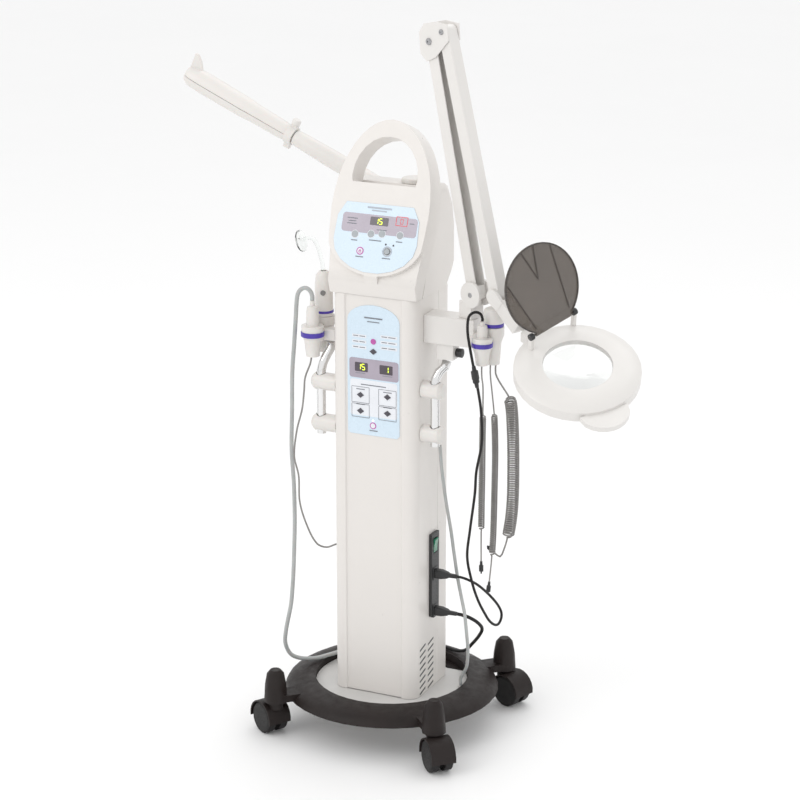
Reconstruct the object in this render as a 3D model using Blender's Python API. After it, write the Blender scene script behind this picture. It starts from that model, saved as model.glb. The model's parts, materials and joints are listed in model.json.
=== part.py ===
"""A facial steamer tower: a five-function beauty machine on a castor ring.

Metres, +Z up, the front faces -Y. Every position below is measured from the column's own axis
on the floor; COLUMN_AXIS then shifts the whole object, so that the middle of its bounding box
stands on the origin.
"""

import math

import bmesh
import bpy
from mathutils import Matrix, Vector

COLUMN_AXIS = Vector((-0.015, -0.001, 0.0))
GAP = 0.0003  # between pieces that touch

# Base
CASTOR_RADIUS = 0.230
CASTOR_ANGLES = {"front_left": 225, "front_right": 315, "rear_right": 45, "rear_left": 135}
CASTOR_TRAIL_ANGLES = {"front_left": 150, "front_right": 315, "rear_right": 340, "rear_left": 100}
WHEEL_RADIUS = 0.0298
CASTOR_TRAIL = 0.020
RING_INNER = 0.1447
RING_OUTER = 0.2026
RING_BOTTOM = 0.0665
RING_TOP = 0.0905
BOSS_TOP = 0.130
PLATE_TOP = 0.078
HOSE_GROMMET = (0.1345, 0.020, 0.0)
GROMMET_HEIGHT = 0.004

# Column
COLUMN_HALF_WIDTH = 0.085
COLUMN_HALF_DEPTH = 0.077
COLUMN_CORNER = 0.022
COLUMN_TOP = 0.8465
COLUMN_WALL = 0.003
SPLIT_Y = 0.020
RECESS_HALF_WIDTH = 0.055
RECESS_DEPTH = 0.003
PANEL_BOTTOM = 0.585
PANEL_TOP = 0.830
SOCKET_HEIGHTS = {"lamp_plug": 0.309, "mains_plug": 0.235}
SOCKET_Y = -0.004

# Console head: its face leans back, and starts at the chin
CHIN = Vector((0.0, -0.088, 0.886))
FACE_LEAN = math.radians(20)
FACE_STEP = 0.009  # the lower corners lie this far behind the U-shaped face
LOOP_DEPTH = 0.047
LOOP_TOP = 0.283
SHELL_WALL = 0.003
REAR_TOP = 1.035
REAR_BACK = 0.094

# Steam arm
STEAM_PIVOT = Vector((-0.055, 0.125, 0.985))
STEAM_LIFT = math.radians(24.3)
STEAM_TUBE_LENGTH = 0.235
STEAM_HEAD_LENGTH = 0.232

# Magnifier lamp, in the upright plane that its arms move in
BRACKET_TOP = 0.815
BRACKET_BOTTOM = 0.7645
BRACKET_END = 0.1825
LAMP_AXIS = Vector((0.170, -0.022, 0.0))
LAMP_TURN = math.radians(-21.1)
LAMP_BASE_PIVOT = (0.012, 0.861)
ELBOW_LOWER = (-0.0965, 1.298)
ELBOW_UPPER = (-0.066, 1.318)
WRIST = (0.066, 0.868)
ARM_WIDTH = 0.024
ARM_SIDE = 0.012
LENS_CENTRE = (0.2561, 0.782)
HEAD_DROP = 0.013  # from the lens down to the axis that the head rolls about
HEAD_RADIUS = 0.1105
COVER_HINGE = (-0.081, 0.015, 0.041)  # from the roll axis
TAB_TURN = math.radians(-18)
COVER_RADIUS = 0.079
COVER_OPEN = math.radians(120)

# Side rails and the holders for the hand tools
RAIL_RADIUS = 0.009
RAIL_Y = -0.045
CLAMP_RADIUS = 0.0165
PROBE_AXIS = Vector((0.2209, -0.0438, 0.0))
RIGHT_FRONT_CUP = Vector((0.2121, -0.0730, 0.0))
HANDLE_AXIS = Vector((-0.1340, -0.006, 0.0))
LEFT_FRONT_CUP = Vector((-0.1370, -0.047, 0.0))

# Mains lead: the length not in use lies in a flat coil behind the base
COIL_CENTRE = Vector((-0.116, 0.288, 0.0))
COIL_RADIUS = 0.036
LEAD_DIAMETER = 0.0065

ALL_PARTS = []


def material(name, colour, roughness=0.4, metallic=0.0):
    made = bpy.data.materials.get(name) or bpy.data.materials.new(name)
    made.use_nodes = True
    shader = made.node_tree.nodes["Principled BSDF"]
    shader.inputs["Base Color"].default_value = (*colour, 1.0)
    shader.inputs["Roughness"].default_value = roughness
    shader.inputs["Metallic"].default_value = metallic
    return made


WHITE = material("warm_white_plastic", (0.83, 0.80, 0.76), 0.32)
DARK = material("brown_black_plastic", (0.035, 0.028, 0.027), 0.45)
PANEL = material("pale_blue_film", (0.62, 0.76, 0.86), 0.35)
STEEL = material("painted_steel", (0.70, 0.69, 0.68), 0.35)
CHROME = material("chrome", (0.80, 0.80, 0.80), 0.08, 1.0)
BLACK = material("black_plastic", (0.02, 0.02, 0.02), 0.4)
GREY = material("grey_plastic", (0.30, 0.29, 0.28), 0.45)
HOSE = material("grey_hose", (0.48, 0.49, 0.48), 0.45)
GLASS = material("clear_glass", (0.90, 0.92, 0.90), 0.05)
SMOKE = material("smoked_acrylic", (0.20, 0.17, 0.15), 0.12)
GREEN = material("green_rocker", (0.05, 0.30, 0.18), 0.3)
PHOSPHOR = material("lamp_tube", (0.95, 0.95, 0.92), 0.4)


def keep(obj, mat, place):
    """Gives a new object its material and its place, and notes it for the shared parent."""
    obj.data.materials.append(mat)
    obj.matrix_world = place
    bpy.context.scene.collection.objects.link(obj)
    ALL_PARTS.append(obj)
    return obj


def solid(name, rings, mat, place=None, closed=False):
    """A closed skin over rings of equally many points; closed joins the last ring to the first."""
    mesh = bmesh.new()
    loops = [[mesh.verts.new(point) for point in ring] for ring in rings]
    pairs = list(zip(loops, loops[1:]))
    if closed:
        pairs.append((loops[-1], loops[0]))
    count = len(rings[0])
    for first, second in pairs:
        for i in range(count):
            j = (i + 1) % count
            mesh.faces.new((first[i], first[j], second[j], second[i]))
    if not closed:
        mesh.faces.new(list(reversed(loops[0])))
        mesh.faces.new(loops[-1])
    bmesh.ops.remove_doubles(mesh, verts=mesh.verts, dist=1e-6)
    bmesh.ops.dissolve_degenerate(mesh, dist=1e-7, edges=mesh.edges)
    bmesh.ops.recalc_face_normals(mesh, faces=mesh.faces)
    data = bpy.data.meshes.new(name)
    mesh.to_mesh(data)
    mesh.free()
    return keep(bpy.data.objects.new(name, data), mat, place or Matrix())


def prism(name, outline, low, high, mat, place=None):
    """An outline in XY, pulled up along Z from low to high."""
    rings = [[(x, y, z) for x, y in outline] for z in (low, high)]
    return solid(name, rings, mat, place)


def block(name, low, high, mat, place=None):
    outline = [(low[0], low[1]), (high[0], low[1]), (high[0], high[1]), (low[0], high[1])]
    return prism(name, outline, low[2], high[2], mat, place)


def turned(name, profile, mat, place=None, steps=16):
    """A profile of (radius, height) turned about Z; it starts and ends on the axis."""
    rings = []
    for radius, height in profile:
        angles = [2 * math.pi * i / steps for i in range(steps)]
        rings.append([(radius * math.cos(a), radius * math.sin(a), height) for a in angles])
    return solid(name, rings, mat, place)


def ring_of(name, profile, mat, place=None, steps=40):
    """A closed (radius, height) outline turned about Z, with a hole in the middle."""
    rings = []
    for i in range(steps):
        a = 2 * math.pi * i / steps
        rings.append([(r * math.cos(a), r * math.sin(a), z) for r, z in profile])
    return solid(name, rings, mat, place, closed=True)


def cylinder(name, radius, low, high, mat, place=None, steps=16):
    return turned(name, [(0, low), (radius, low), (radius, high), (0, high)], mat, place, steps)


def helper(obj):
    obj.hide_render = True
    obj.display_type = "WIRE"
    return obj


def combine(obj, other, operation):
    step = obj.modifiers.new(operation.lower(), "BOOLEAN")
    step.operation = operation
    step.solver = "EXACT"
    step.object = helper(other)


def join(obj, *others):
    for other in others:
        combine(obj, other, "UNION")
    return obj


def cut(obj, *others):
    for other in others:
        combine(obj, other, "DIFFERENCE")
    return obj


def arc(centre, radius, start, end, steps):
    """Points on an arc, its angles in degrees."""
    points = []
    for i in range(steps + 1):
        a = math.radians(start + (end - start) * i / steps)
        points.append((centre[0] + radius * math.cos(a), centre[1] + radius * math.sin(a)))
    return points


def rounded(half_x, half_y, radius, steps=4, centre=(0.0, 0.0)):
    """A rectangle with round corners, counter-clockwise from its right side."""
    points = []
    for i, (sx, sy) in enumerate(((1, 1), (-1, 1), (-1, -1), (1, -1))):
        corner = (centre[0] + sx * (half_x - radius), centre[1] + sy * (half_y - radius))
        points += arc(corner, radius, 90 * i, 90 * i + 90, steps)
    return points


def at(point):
    return Matrix.Translation(Vector(point))


def frame(origin, x_axis, z_axis):
    """The place of a piece whose own X and Z follow the two axes given."""
    z = Vector(z_axis).normalized()
    x = (Vector(x_axis) - Vector(x_axis).dot(z) * z).normalized()
    turn = Matrix((x, z.cross(x), z)).transposed()
    return at(origin) @ turn.to_4x4()


def smooth_route(points, spacing):
    """Even points on a smooth curve through a cord's hand-chosen points."""
    path = [Vector(p) for p in points]
    path = [2 * path[0] - path[1]] + path + [2 * path[-1] - path[-2]]
    fine = []
    for p0, p1, p2, p3 in zip(path, path[1:], path[2:], path[3:]):
        for i in range(24):
            t = i / 24
            bend = (2 * p0 - 5 * p1 + 4 * p2 - p3) * t * t + (3 * p1 - p0 - 3 * p2 + p3) * t**3
            fine.append(0.5 * (2 * p1 + (p2 - p0) * t + bend))
    fine.append(path[-2])
    lengths = [0.0]
    for a, b in zip(fine, fine[1:]):
        lengths.append(lengths[-1] + (b - a).length)
    count = max(2, round(lengths[-1] / spacing))
    even, at_fine = [], 0
    for i in range(count + 1):
        goal = lengths[-1] * i / count
        while at_fine < len(fine) - 2 and lengths[at_fine + 1] < goal:
            at_fine += 1
        span = lengths[at_fine + 1] - lengths[at_fine]
        share = (goal - lengths[at_fine]) / span
        even.append(fine[at_fine].lerp(fine[at_fine + 1], share))
    return even


def cord(name, route, diameter, mat, spacing=3.0, swelling=None):
    """A round tube along a route; swelling(share) widens it along its length."""
    points = smooth_route(route, spacing * diameter)
    curve = bpy.data.curves.new(name, "CURVE")
    curve.dimensions = "3D"
    curve.bevel_depth = diameter / 2
    curve.bevel_resolution = 2
    curve.use_fill_caps = True
    line = curve.splines.new("POLY")
    line.points.add(len(points) - 1)
    for i, point in enumerate(points):
        line.points[i].co = (*point, 1.0)
        if swelling:
            line.points[i].radius = swelling(i / (len(points) - 1))
    return keep(bpy.data.objects.new(name, curve), mat, Matrix())


# ---------------------------------------------------------------- base


def around(angle, radius=CASTOR_RADIUS):
    a = math.radians(angle)
    return Vector((radius * math.cos(a), radius * math.sin(a), 0.0))


def make_base():
    lip = 0.132
    profile = [
        (lip, RING_BOTTOM),
        (RING_OUTER, RING_BOTTOM),
        (0.198, 0.0765),
        (0.185, 0.0840),
        (0.158, RING_TOP),
        (RING_INNER, RING_TOP),
        (RING_INNER, 0.0742),
        (lip, 0.0742),
    ]
    ring = ring_of("base_ring", profile, DARK, steps=40)
    for angle in CASTOR_ANGLES.values():
        place = at(around(angle)) @ Matrix.Rotation(math.radians(angle), 4, "Z")
        ear = block("ear", (-0.050, -0.019, RING_BOTTOM + 0.002), (0.0, 0.019, 0.0820), DARK, place)
        foot = RING_BOTTOM + 0.001
        dome = [(0, foot), (0.0225, foot), (0.0205, 0.100), (0.0165, 0.122)]
        boss = turned("boss", dome + [(0.010, BOSS_TOP), (0, BOSS_TOP)], DARK, place, 12)
        bore = cylinder("bore", 0.0056, 0.050, 0.112, DARK, place, 8)
        cut(join(ring, ear, boss), bore)
    # The plate ends in a straight edge behind the column.
    outline = arc((0, 0), RING_INNER - 3 * GAP, 140, 400, 40)
    plate = prism("base_plate", outline, PLATE_TOP - 0.0035, PLATE_TOP, STEEL)
    top = PLATE_TOP + GROMMET_HEIGHT
    grommet = [(0, PLATE_TOP - 0.001), (0.0065, PLATE_TOP - 0.001), (0.0052, top), (0, top)]
    join(plate, turned("grommet", grommet, STEEL, at(HOSE_GROMMET), 12))


def make_castor(name, angle, trail_angle):
    place = at(around(angle)) @ Matrix.Rotation(math.radians(trail_angle), 4, "Z")
    axle = (CASTOR_TRAIL, WHEEL_RADIUS)
    upright = Matrix.Rotation(math.radians(90), 4, "X")
    hood_outline = arc(axle, 0.0345, -8, 188, 12) + arc(axle, 0.0316, 188, -8, 12)
    hood = prism("castor_fork_" + name, hood_outline, -0.0235, 0.0235, DARK, place @ upright)
    web_outline = arc(axle, 0.0330, 0, 180, 10) + arc(axle, 0.010, 200, 340, 5)
    web = prism("web", web_outline, -0.0035, 0.0035, DARK, place @ upright)
    eye = cylinder("eye", 0.0046, -0.01, 0.01, DARK, place @ upright @ at((*axle, 0)), 12)
    stem_shape = [(0, 0.052), (0.014, 0.052), (0.014, 0.0660)]
    stem_shape += [(0.005, 0.0660), (0.005, 0.108), (0, 0.108)]
    stem = turned("stem", stem_shape, DARK, place, 10)
    room = [(0, -0.0045), (0.0312, -0.0045), (0.0312, -0.03), (0, -0.03)]
    hub = place @ upright @ at((*axle, 0))
    cut_left = turned("room", room, DARK, hub, 14)
    cut_right = turned("room", [(r, -z) for r, z in room], DARK, hub, 14)
    cut(join(hood, web, stem), eye, cut_left, cut_right)
    half = [(0, -0.0225), (0.025, -0.0225), (WHEEL_RADIUS, -0.0200)]
    half += [(WHEEL_RADIUS, -0.0055), (0.0040, -0.0048)]
    profile = half + [(r, -z) for r, z in reversed(half)]
    centre = place @ at((CASTOR_TRAIL, 0, WHEEL_RADIUS)) @ upright
    turned("castor_wheel_" + name, profile, BLACK, centre, 20)


# ---------------------------------------------------------------- column


def cover_outline(side):
    """Half of the column's wall in plan: side -1 is the front one, with the sunk panel."""
    x, y, wall = COLUMN_HALF_WIDTH, COLUMN_HALF_DEPTH, COLUMN_WALL
    edge = SPLIT_Y + side * GAP / 2
    corner = (x - COLUMN_CORNER, y - COLUMN_CORNER)
    inner = COLUMN_CORNER - wall
    outer_corners = arc(corner, COLUMN_CORNER, 0, 90, 5)
    inner_corners = arc(corner, inner, 0, 90, 5)
    outside = [(x, side * edge)] + outer_corners
    inside = [(x - wall, side * edge)] + inner_corners
    if side < 0:
        outside.append((RECESS_HALF_WIDTH + 0.002, y))
        outside.append((RECESS_HALF_WIDTH, y - RECESS_DEPTH))
        inside.append((RECESS_HALF_WIDTH + 0.002, y - wall))
        inside.append((RECESS_HALF_WIDTH - 0.001, y - RECESS_DEPTH - wall))
    outside += [(-px, py) for px, py in reversed(outside)]
    inside += [(-px, py) for px, py in reversed(inside)]
    return [(px, side * py) for px, py in outside + inside[::-1]]


def make_column():
    low = PLATE_TOP + GAP
    prism("column_front_cover", cover_outline(-1), low, COLUMN_TOP, WHITE)
    prism("column_rear_cover", cover_outline(1), low, COLUMN_TOP, WHITE)
    front = -COLUMN_HALF_DEPTH + RECESS_DEPTH - GAP
    outline = [(-0.052, PANEL_BOTTOM + 0.005), (-0.047, PANEL_BOTTOM)]
    outline += [(0.047, PANEL_BOTTOM), (0.052, PANEL_BOTTOM + 0.005)]
    arch = [math.radians(15 * i) for i in range(13)]
    outline += [(0.052 * math.cos(a), PANEL_TOP - 0.030 + 0.030 * math.sin(a)) for a in arch]
    place = frame((0, front, 0), (1, 0, 0), (0, -1, 0))
    prism("column_panel", outline, 0, 0.0008, PANEL, place)


def make_power():
    side = COLUMN_HALF_WIDTH + GAP
    low, high = (side, -0.018, 0.226), (side + 0.0060, 0.014, 0.388)
    inlet = block("power_inlet", low, high, BLACK)
    rocker_z, half_height = 0.364, 0.0148
    pocket_low = (side + 0.001, -0.0098, rocker_z - half_height)
    pocket_high = (side + 0.010, 0.0058, rocker_z + half_height)
    pocket = block("pocket", pocket_low, pocket_high, BLACK)
    cut(inlet, pocket)
    for z in SOCKET_HEIGHTS.values():
        place = frame((0, SOCKET_Y, z), (0, 0, 1), (1, 0, 0))
        shroud = rounded(0.0125, 0.0095, 0.002, 2)
        join(inlet, prism("shroud", shroud, side + 0.001, side + 0.0075, BLACK, place))
    tilt = math.radians(7)
    body = [(-0.0022, -0.0128), (0.0024, -0.0128), (0.0012, 0.0), (0.0024, 0.0128), (-0.0022, 0.0128)]
    place = frame((side + 0.0055, -0.002, rocker_z), (math.cos(tilt), 0, -math.sin(tilt)), (0, -1, 0))
    prism("rocker_switch", [(x, z) for x, z in body], -0.0072, 0.0072, GREEN, place)
    plug_sections = (
        (0.0, 0.0085, 0.0080),
        (0.012, 0.0085, 0.0080),
        (0.024, 0.0060, 0.0060),
        (0.028, 0.0040, 0.0040),
        (0.0435, 0.0034, 0.0034),
    )
    for name, z in SOCKET_HEIGHTS.items():
        place = frame((side + 0.0078, SOCKET_Y, z), (0, 0, 1), (1, 0, 0))
        rings = []
        for along, half_z, half_y in plug_sections:
            rings.append([(x, y, along) for x, y in rounded(half_z, half_y, 0.45 * half_y, 2)])
        solid(name, rings, BLACK, place)


# ---------------------------------------------------------------- console head


def face_frame():
    """X to the right along the face, Y up along its slope, Z out of it."""
    return frame(CHIN, (1, 0, 0), (0, -math.cos(FACE_LEAN), math.sin(FACE_LEAN)))


def loop_outline(margin=0.0):
    """The arched outline of the console, from the chin's line up and over the carrying loop."""
    middle, half_width = 0.120, 0.096 - margin
    points = [(-0.085 + margin, -0.055), (-0.087 + margin, 0.010), (-0.0935 + margin, 0.075)]
    points += [(half_width * math.cos(a), middle + (LOOP_TOP - margin - middle) * math.sin(a))
               for a in (math.radians(180 - 9 * i) for i in range(21))]
    points += [(0.0935 - margin, 0.075), (0.087 - margin, 0.010), (0.085 - margin, -0.055)]
    return points[::-1]


def hand_opening():
    return [(0.062, 0.167)] + [(0.064 * math.cos(a), 0.178 + 0.074 * math.sin(a))
                               for a in (math.radians(15 * i) for i in range(13))] + [(-0.062, 0.167)]


def pocket_outline():
    return [
        (-0.0700, 0.040),
        (-0.0400, 0.014),
        (0.0400, 0.014),
        (0.0700, 0.040),
        (0.0850, 0.080),
        (0.0895, 0.115),
        (0.0870, 0.156),
        (-0.0870, 0.156),
        (-0.0895, 0.115),
        (-0.0850, 0.080),
    ]


def lower_pocket_outline():
    return [(-0.081, 0.004), (0.081, 0.004), (0.0850, 0.060), (-0.0850, 0.060)]


def step_outline(side):
    """The lower corner outside the U of the face: the U is half an ellipse down to the chin."""
    middle, half_width = 0.072, 0.0945
    u = [(side * half_width * math.sin(a), middle - (middle - 0.001) * math.cos(a))
         for a in (math.radians(8 * i) for i in range(1, 12))]
    return [(side * 0.010, -0.080), (side * 0.130, -0.080), (side * 0.130, u[-1][1])] + u[::-1]


def make_console():
    face = face_frame()
    shell = prism("head_front_shell", loop_outline(), -LOOP_DEPTH, 0, WHITE, face)
    opening = prism("hand_opening", hand_opening(), -0.1, 0.1, WHITE, face)
    pocket = prism("pocket", pocket_outline(), -0.1, -SHELL_WALL, WHITE, face)
    lower_pocket = prism("lower_pocket", lower_pocket_outline(), -0.1, -FACE_STEP - SHELL_WALL, WHITE, face)
    steps = [prism("step", step_outline(side), -FACE_STEP, 0.01, WHITE, face) for side in (-1, 1)]
    under = block("under", (-0.2, -0.3, 0.5), (0.2, 0.3, COLUMN_TOP + GAP), WHITE)
    chin_slope = math.atan2(CHIN.y + COLUMN_HALF_DEPTH, CHIN.z - COLUMN_TOP)
    chin = block("chin", (-0.2, -0.1, -0.1), (0.2, 0, 0.0), WHITE,
                 at(CHIN) @ Matrix.Rotation(-chin_slope, 4, "X"))
    throat = block("throat", (-0.081, -0.0735, 0.80), (0.081, 0.10, 0.894), WHITE)
    cut(shell, opening, pocket, lower_pocket, under, chin, throat, *steps)

    half = COLUMN_HALF_WIDTH
    z0 = COLUMN_TOP + GAP
    side = [(-0.10, z0), (0.060, z0), (0.084, 0.862), (REAR_BACK, 0.880), (REAR_BACK, 0.955)]
    side += [(0.086, 1.000), (0.070, 1.027), (0.056, REAR_TOP), (-0.10, REAR_TOP)]
    across = frame((0, 0, 0), (0, 1, 0), (1, 0, 0))
    rings = []
    corner_inset, middle_z = 0.012, 0.94
    for x, inset in (
        (-half - 0.002, corner_inset),
        (-half + 0.006, 0.0),
        (half - 0.006, 0.0),
        (half + 0.002, corner_inset),
    ):
        ring = []
        for y, z in side:
            dy = inset if y > 0 else 0
            dz = inset * (z - middle_z) / 0.1 if z > z0 + 0.001 else 0
            ring.append((y - dy, z - dz, x))
        rings.append(ring)
    rear = solid("head_rear_shell", rings, WHITE, across)
    back, top = REAR_BACK - 0.004, REAR_TOP - 0.004
    inner = [(-0.2, z0 - 0.1), (0.052, z0 - 0.1), (0.052, z0 + SHELL_WALL), (0.080, 0.866)]
    inner += [(back, 0.884), (back, 0.950), (0.080, 0.998), (0.066, 1.022), (0.054, top), (-0.2, top)]
    hollow = prism("hollow", inner, -half + 0.004, half - 0.004, WHITE, across)
    in_front = block("in_front", (-0.3, -0.3, -LOOP_DEPTH - GAP), (0.3, 0.5, 0.5), WHITE, face)
    neck = cylinder("neck", 0.0170, 0.99, 1.10, WHITE, at((0.026, 0.038, 0)), 20)
    boss_axis = at((STEAM_PIVOT.x, STEAM_PIVOT.y, 0))
    saddle = block("saddle", (-0.024, -0.060, 0.895), (0.024, 0.0, 0.935), WHITE, boss_axis)
    round_end = cylinder("round_end", 0.024, 0.895, 0.935, WHITE, boss_axis, 20)
    spigot_hole = cylinder("spigot_hole", 0.0105, 0.85, 0.96, WHITE, boss_axis, 16)
    cut(rear, hollow)
    cut(join(rear, saddle, round_end), spigot_hole, neck, in_front)

    panel = [(-0.082, 0.062), (-0.080, 0.105), (-0.066, 0.130)]
    panel += [(0.066, 0.130), (0.080, 0.105), (0.082, 0.062)]
    panel += [(0.082 * math.cos(a), 0.062 - 0.056 * math.sin(a))
              for a in (math.radians(20 * i) for i in range(1, 9))]
    sheet = prism("head_panel", panel[::-1], GAP, 0.0011, PANEL, face)
    key_place = face @ at((0.0264, 0.0477, 0))
    key_hole = cylinder("key_hole", 0.0068, -0.03, 0.03, WHITE, key_place, 16)
    cut(sheet, key_hole)
    shell_hole = cylinder("shell_hole", 0.0058, -0.03, 0.03, WHITE, key_place, 16)
    cut(shell, shell_hole)
    key = [(0, -0.0040), (0.0052, -0.0040), (0.0052, 0.0008), (0.0048, 0.0026), (0, 0.0030)]
    turned("select_button", key, GREY, key_place, 16)

    cap = [(0, REAR_TOP - 0.016), (0.0160, REAR_TOP - 0.016), (0.0160, REAR_TOP + GAP)]
    cap += [(0.0215, REAR_TOP + GAP), (0.0215, REAR_TOP + 0.007)]
    cap += [(0.019, REAR_TOP + 0.009), (0, REAR_TOP + 0.009)]
    turned("water_fill_cap", cap, WHITE, at((0.026, 0.038, 0)), 24)
    tank = [(0, 0.8665), (0.033, 0.8665), (0.036, 0.874), (0.036, 0.975)]
    tank += [(0.030, 0.990), (0.012, 0.996), (0.012, 1.012), (0, 1.012)]
    boiler = turned("boiler_tank", tank, STEEL, at((0.026, 0.038, 0)), 20)
    heater = cylinder("heater", 0.014, COLUMN_TOP - 0.035, 0.8700, STEEL, at((0.030, 0.038, 0)), 12)
    join(boiler, heater)


# ---------------------------------------------------------------- steam arm


def make_steam_arm():
    axis = at(STEAM_PIVOT)
    drop = 0.935 + GAP - STEAM_PIVOT.z
    post = [(0, drop - 0.03), (0.0100, drop - 0.03), (0.0100, drop), (0.024, drop), (0.024, drop + 0.006)]
    post += [(0.020, drop + 0.018), (0, drop + 0.018)]
    turret = turned("steam_turret", post, WHITE, axis, 20)
    across = frame((0, 0, 0), (1, 0, 0), (0, 1, 0))
    for y in (-0.0165, 0.0165):
        cheek_outline = [(-0.014, drop + 0.010), (0.014, drop + 0.010)] + arc((0, 0), 0.014, 0, 180, 8)
        flipped = [(x, -z) for x, z in cheek_outline]
        cheek = prism("cheek", flipped, y - 0.0030, y + 0.0030, WHITE, axis @ across)
        join(turret, cheek)
    pin = cylinder("pin", 0.0045, -0.0165, 0.0165, WHITE, axis @ across, 12)
    join(turret, pin)

    along = (-math.cos(STEAM_LIFT), 0, math.sin(STEAM_LIFT))
    arm = frame(STEAM_PIVOT, (math.sin(STEAM_LIFT), 0, math.cos(STEAM_LIFT)), along)
    knuckle = cylinder("knuckle", 0.0150, -0.0132, 0.0132, WHITE, axis @ across, 16)
    end = STEAM_TUBE_LENGTH + 0.010
    shape = [(0, 0.0), (0.0110, 0.0), (0.0125, 0.016), (0.0180, 0.030), (0.0175, 0.140)]
    shape += [(0.0160, 0.200), (0.0150, 0.222), (0.0110, 0.224), (0.0110, end), (0, end)]
    tube = turned("steam_tube", shape, WHITE, arm, 20)
    tube_eye = cylinder("tube_eye", 0.0050, -0.03, 0.03, WHITE, axis @ across, 12)
    cut(join(tube, knuckle), tube_eye)

    ring = [(0.0123, 0.2243), (0.0185, 0.2243), (0.0185, 0.2400), (0.0123, 0.2400)]
    collar = ring_of("steam_collar", ring, WHITE, arm, 24)
    lug = block("lug", (-0.0265, -0.0045, 0.2255), (-0.0150, 0.0045, 0.2385), WHITE, arm)
    post_up = block("post_up", (0.0150, -0.0060, 0.2255), (0.0225, 0.0060, 0.2385), WHITE, arm)
    collar_bore = cylinder("collar_bore", 0.0123, 0.20, 0.26, WHITE, arm, 24)
    screw_place = arm @ at((0.0, 0.0, 0.232)) @ Matrix.Rotation(math.radians(90), 4, "Y")
    screw_hole = cylinder("screw_hole", 0.0026, 0.010, 0.030, WHITE, screw_place, 10)
    cut(join(collar, lug, post_up), collar_bore, screw_hole)
    knob = [(0, 0.0130), (0.0022, 0.0130), (0.0022, 0.0228), (0.0085, 0.0228)]
    knob += [(0.0085, 0.0300), (0.0065, 0.0330), (0, 0.0330)]
    turned("collar_knob", knob, WHITE, screw_place, 14)

    head = arm @ at((0, 0, 0.2403))
    sections = [(0.0, 0.0160), (0.012, 0.0175), (0.070, 0.0185), (0.100, 0.0205)]
    sections += [(0.195, 0.0215), (0.222, 0.0200), (STEAM_HEAD_LENGTH, 0.0150)]
    for name, turn in (("steam_arm_top", 0), ("steam_arm_bottom", 180)):
        place = head @ Matrix.Rotation(math.radians(turn), 4, "Z")
        rings = []
        for z, radius in sections:
            outer = [(radius * math.cos(a), radius * math.sin(a), z)
                     for a in (math.radians(-88.8 + 177.6 * i / 10) for i in range(11))]
            inner_radius = radius - 0.0045 if z < 0.2 else 0.004
            inner = [(inner_radius * math.cos(a), inner_radius * math.sin(a), z)
                     for a in (math.radians(88.0 - 176.0 * i / 10) for i in range(11))]
            rings.append(outer + inner)
        shell = solid(name, rings, WHITE, place)
        if name == "steam_arm_top":
            fin_outline = [(0.010, 0.200), (0.034, 0.214), (0.044, 0.225), (0.044, 0.231), (0.010, 0.231)]
            upright = place @ frame((0, 0, 0), (1, 0, 0), (0, -1, 0))
            join(shell, prism("fin", fin_outline, -0.0035, 0.0035, WHITE, upright))
        else:
            sideways = place @ at((0, 0, 0.212)) @ Matrix.Rotation(math.radians(90), 4, "Y")
            cut(shell, cylinder("outlet", 0.0070, 0.002, 0.04, WHITE, sideways, 14))


# ---------------------------------------------------------------- magnifier lamp


def lamp_frame():
    """X along the arms' plane, Y to its back, Z up, from the lamp's upright swivel axis."""
    return at(LAMP_AXIS) @ Matrix.Rotation(LAMP_TURN, 4, "Z")


def in_plane(point, depth=0.0):
    return lamp_frame() @ Vector((point[0], depth, point[1]))


def plane_frame(point):
    """At a point of the arms' plane: X along the plane, Y up, Z to its front."""
    turn = lamp_frame().to_3x3()
    return frame(in_plane(point), turn @ Vector((1, 0, 0)), turn @ Vector((0, -1, 0)))


def make_arm(name, start, end):
    """A folded channel between two pivots, open along one long side."""
    run = Vector((end[0] - start[0], end[1] - start[1]))
    place = plane_frame(start) @ Matrix.Rotation(math.atan2(run.y, run.x), 4, "Z")
    half, length, wall = ARM_WIDTH / 2, run.length, 0.0022
    outline = arc((0, 0), half, 90, 270, 8) + arc((length, 0), half, -90, 90, 8)
    arm = prism(name, outline, -ARM_SIDE, ARM_SIDE, WHITE, place)
    low, high = (0.014, -half - 0.02, -ARM_SIDE + wall), (length - 0.014, half - wall, ARM_SIDE - wall)
    cut(arm, block("trough", low, high, WHITE, place))
    for x in (0, length):
        cut(arm, cylinder("eye", 0.0034, -0.03, 0.03, WHITE, place @ at((x, 0, 0)), 12))


def make_lamp_base():
    turn = lamp_frame()
    pivot = plane_frame(LAMP_BASE_PIVOT)
    low = BRACKET_TOP + GAP
    base = block("lamp_base", (-0.0175, -0.0155, low), (0.0125, 0.0155, 0.846), WHITE, turn)
    pin = cylinder("pin", 0.0030, -0.0149, 0.0149, WHITE, pivot, 14)
    spigot = cylinder("spigot", 0.0070, 0.772, low + 0.004, WHITE, turn, 16)
    join(base, pin, spigot)
    for z in (-0.0155, 0.0155):
        disc = cylinder("disc", 0.0235, z - 0.0030, z + 0.0030, WHITE, pivot, 24)
        join(base, disc)


def make_elbow():
    lower, upper = ELBOW_LOWER, ELBOW_UPPER
    place = plane_frame(lower)
    shift = (upper[0] - lower[0], upper[1] - lower[1])
    corners = [(-0.026, 0.014), (-0.014, 0.030), (0.012, 0.036), (0.044, 0.034)]
    corners += [(0.047, 0.006), (0.016, -0.026), (-0.006, -0.036), (-0.022, -0.024)]
    front = prism("lamp_elbow", corners, 0.0125, 0.0155, WHITE, place)
    back = prism("back", corners, -0.0155, -0.0125, WHITE, place)
    join(front, back)
    for spot in ((0, 0), shift):
        join(front, cylinder("pin", 0.0030, -0.014, 0.014, WHITE, place @ at((*spot, 0)), 12))


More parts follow.
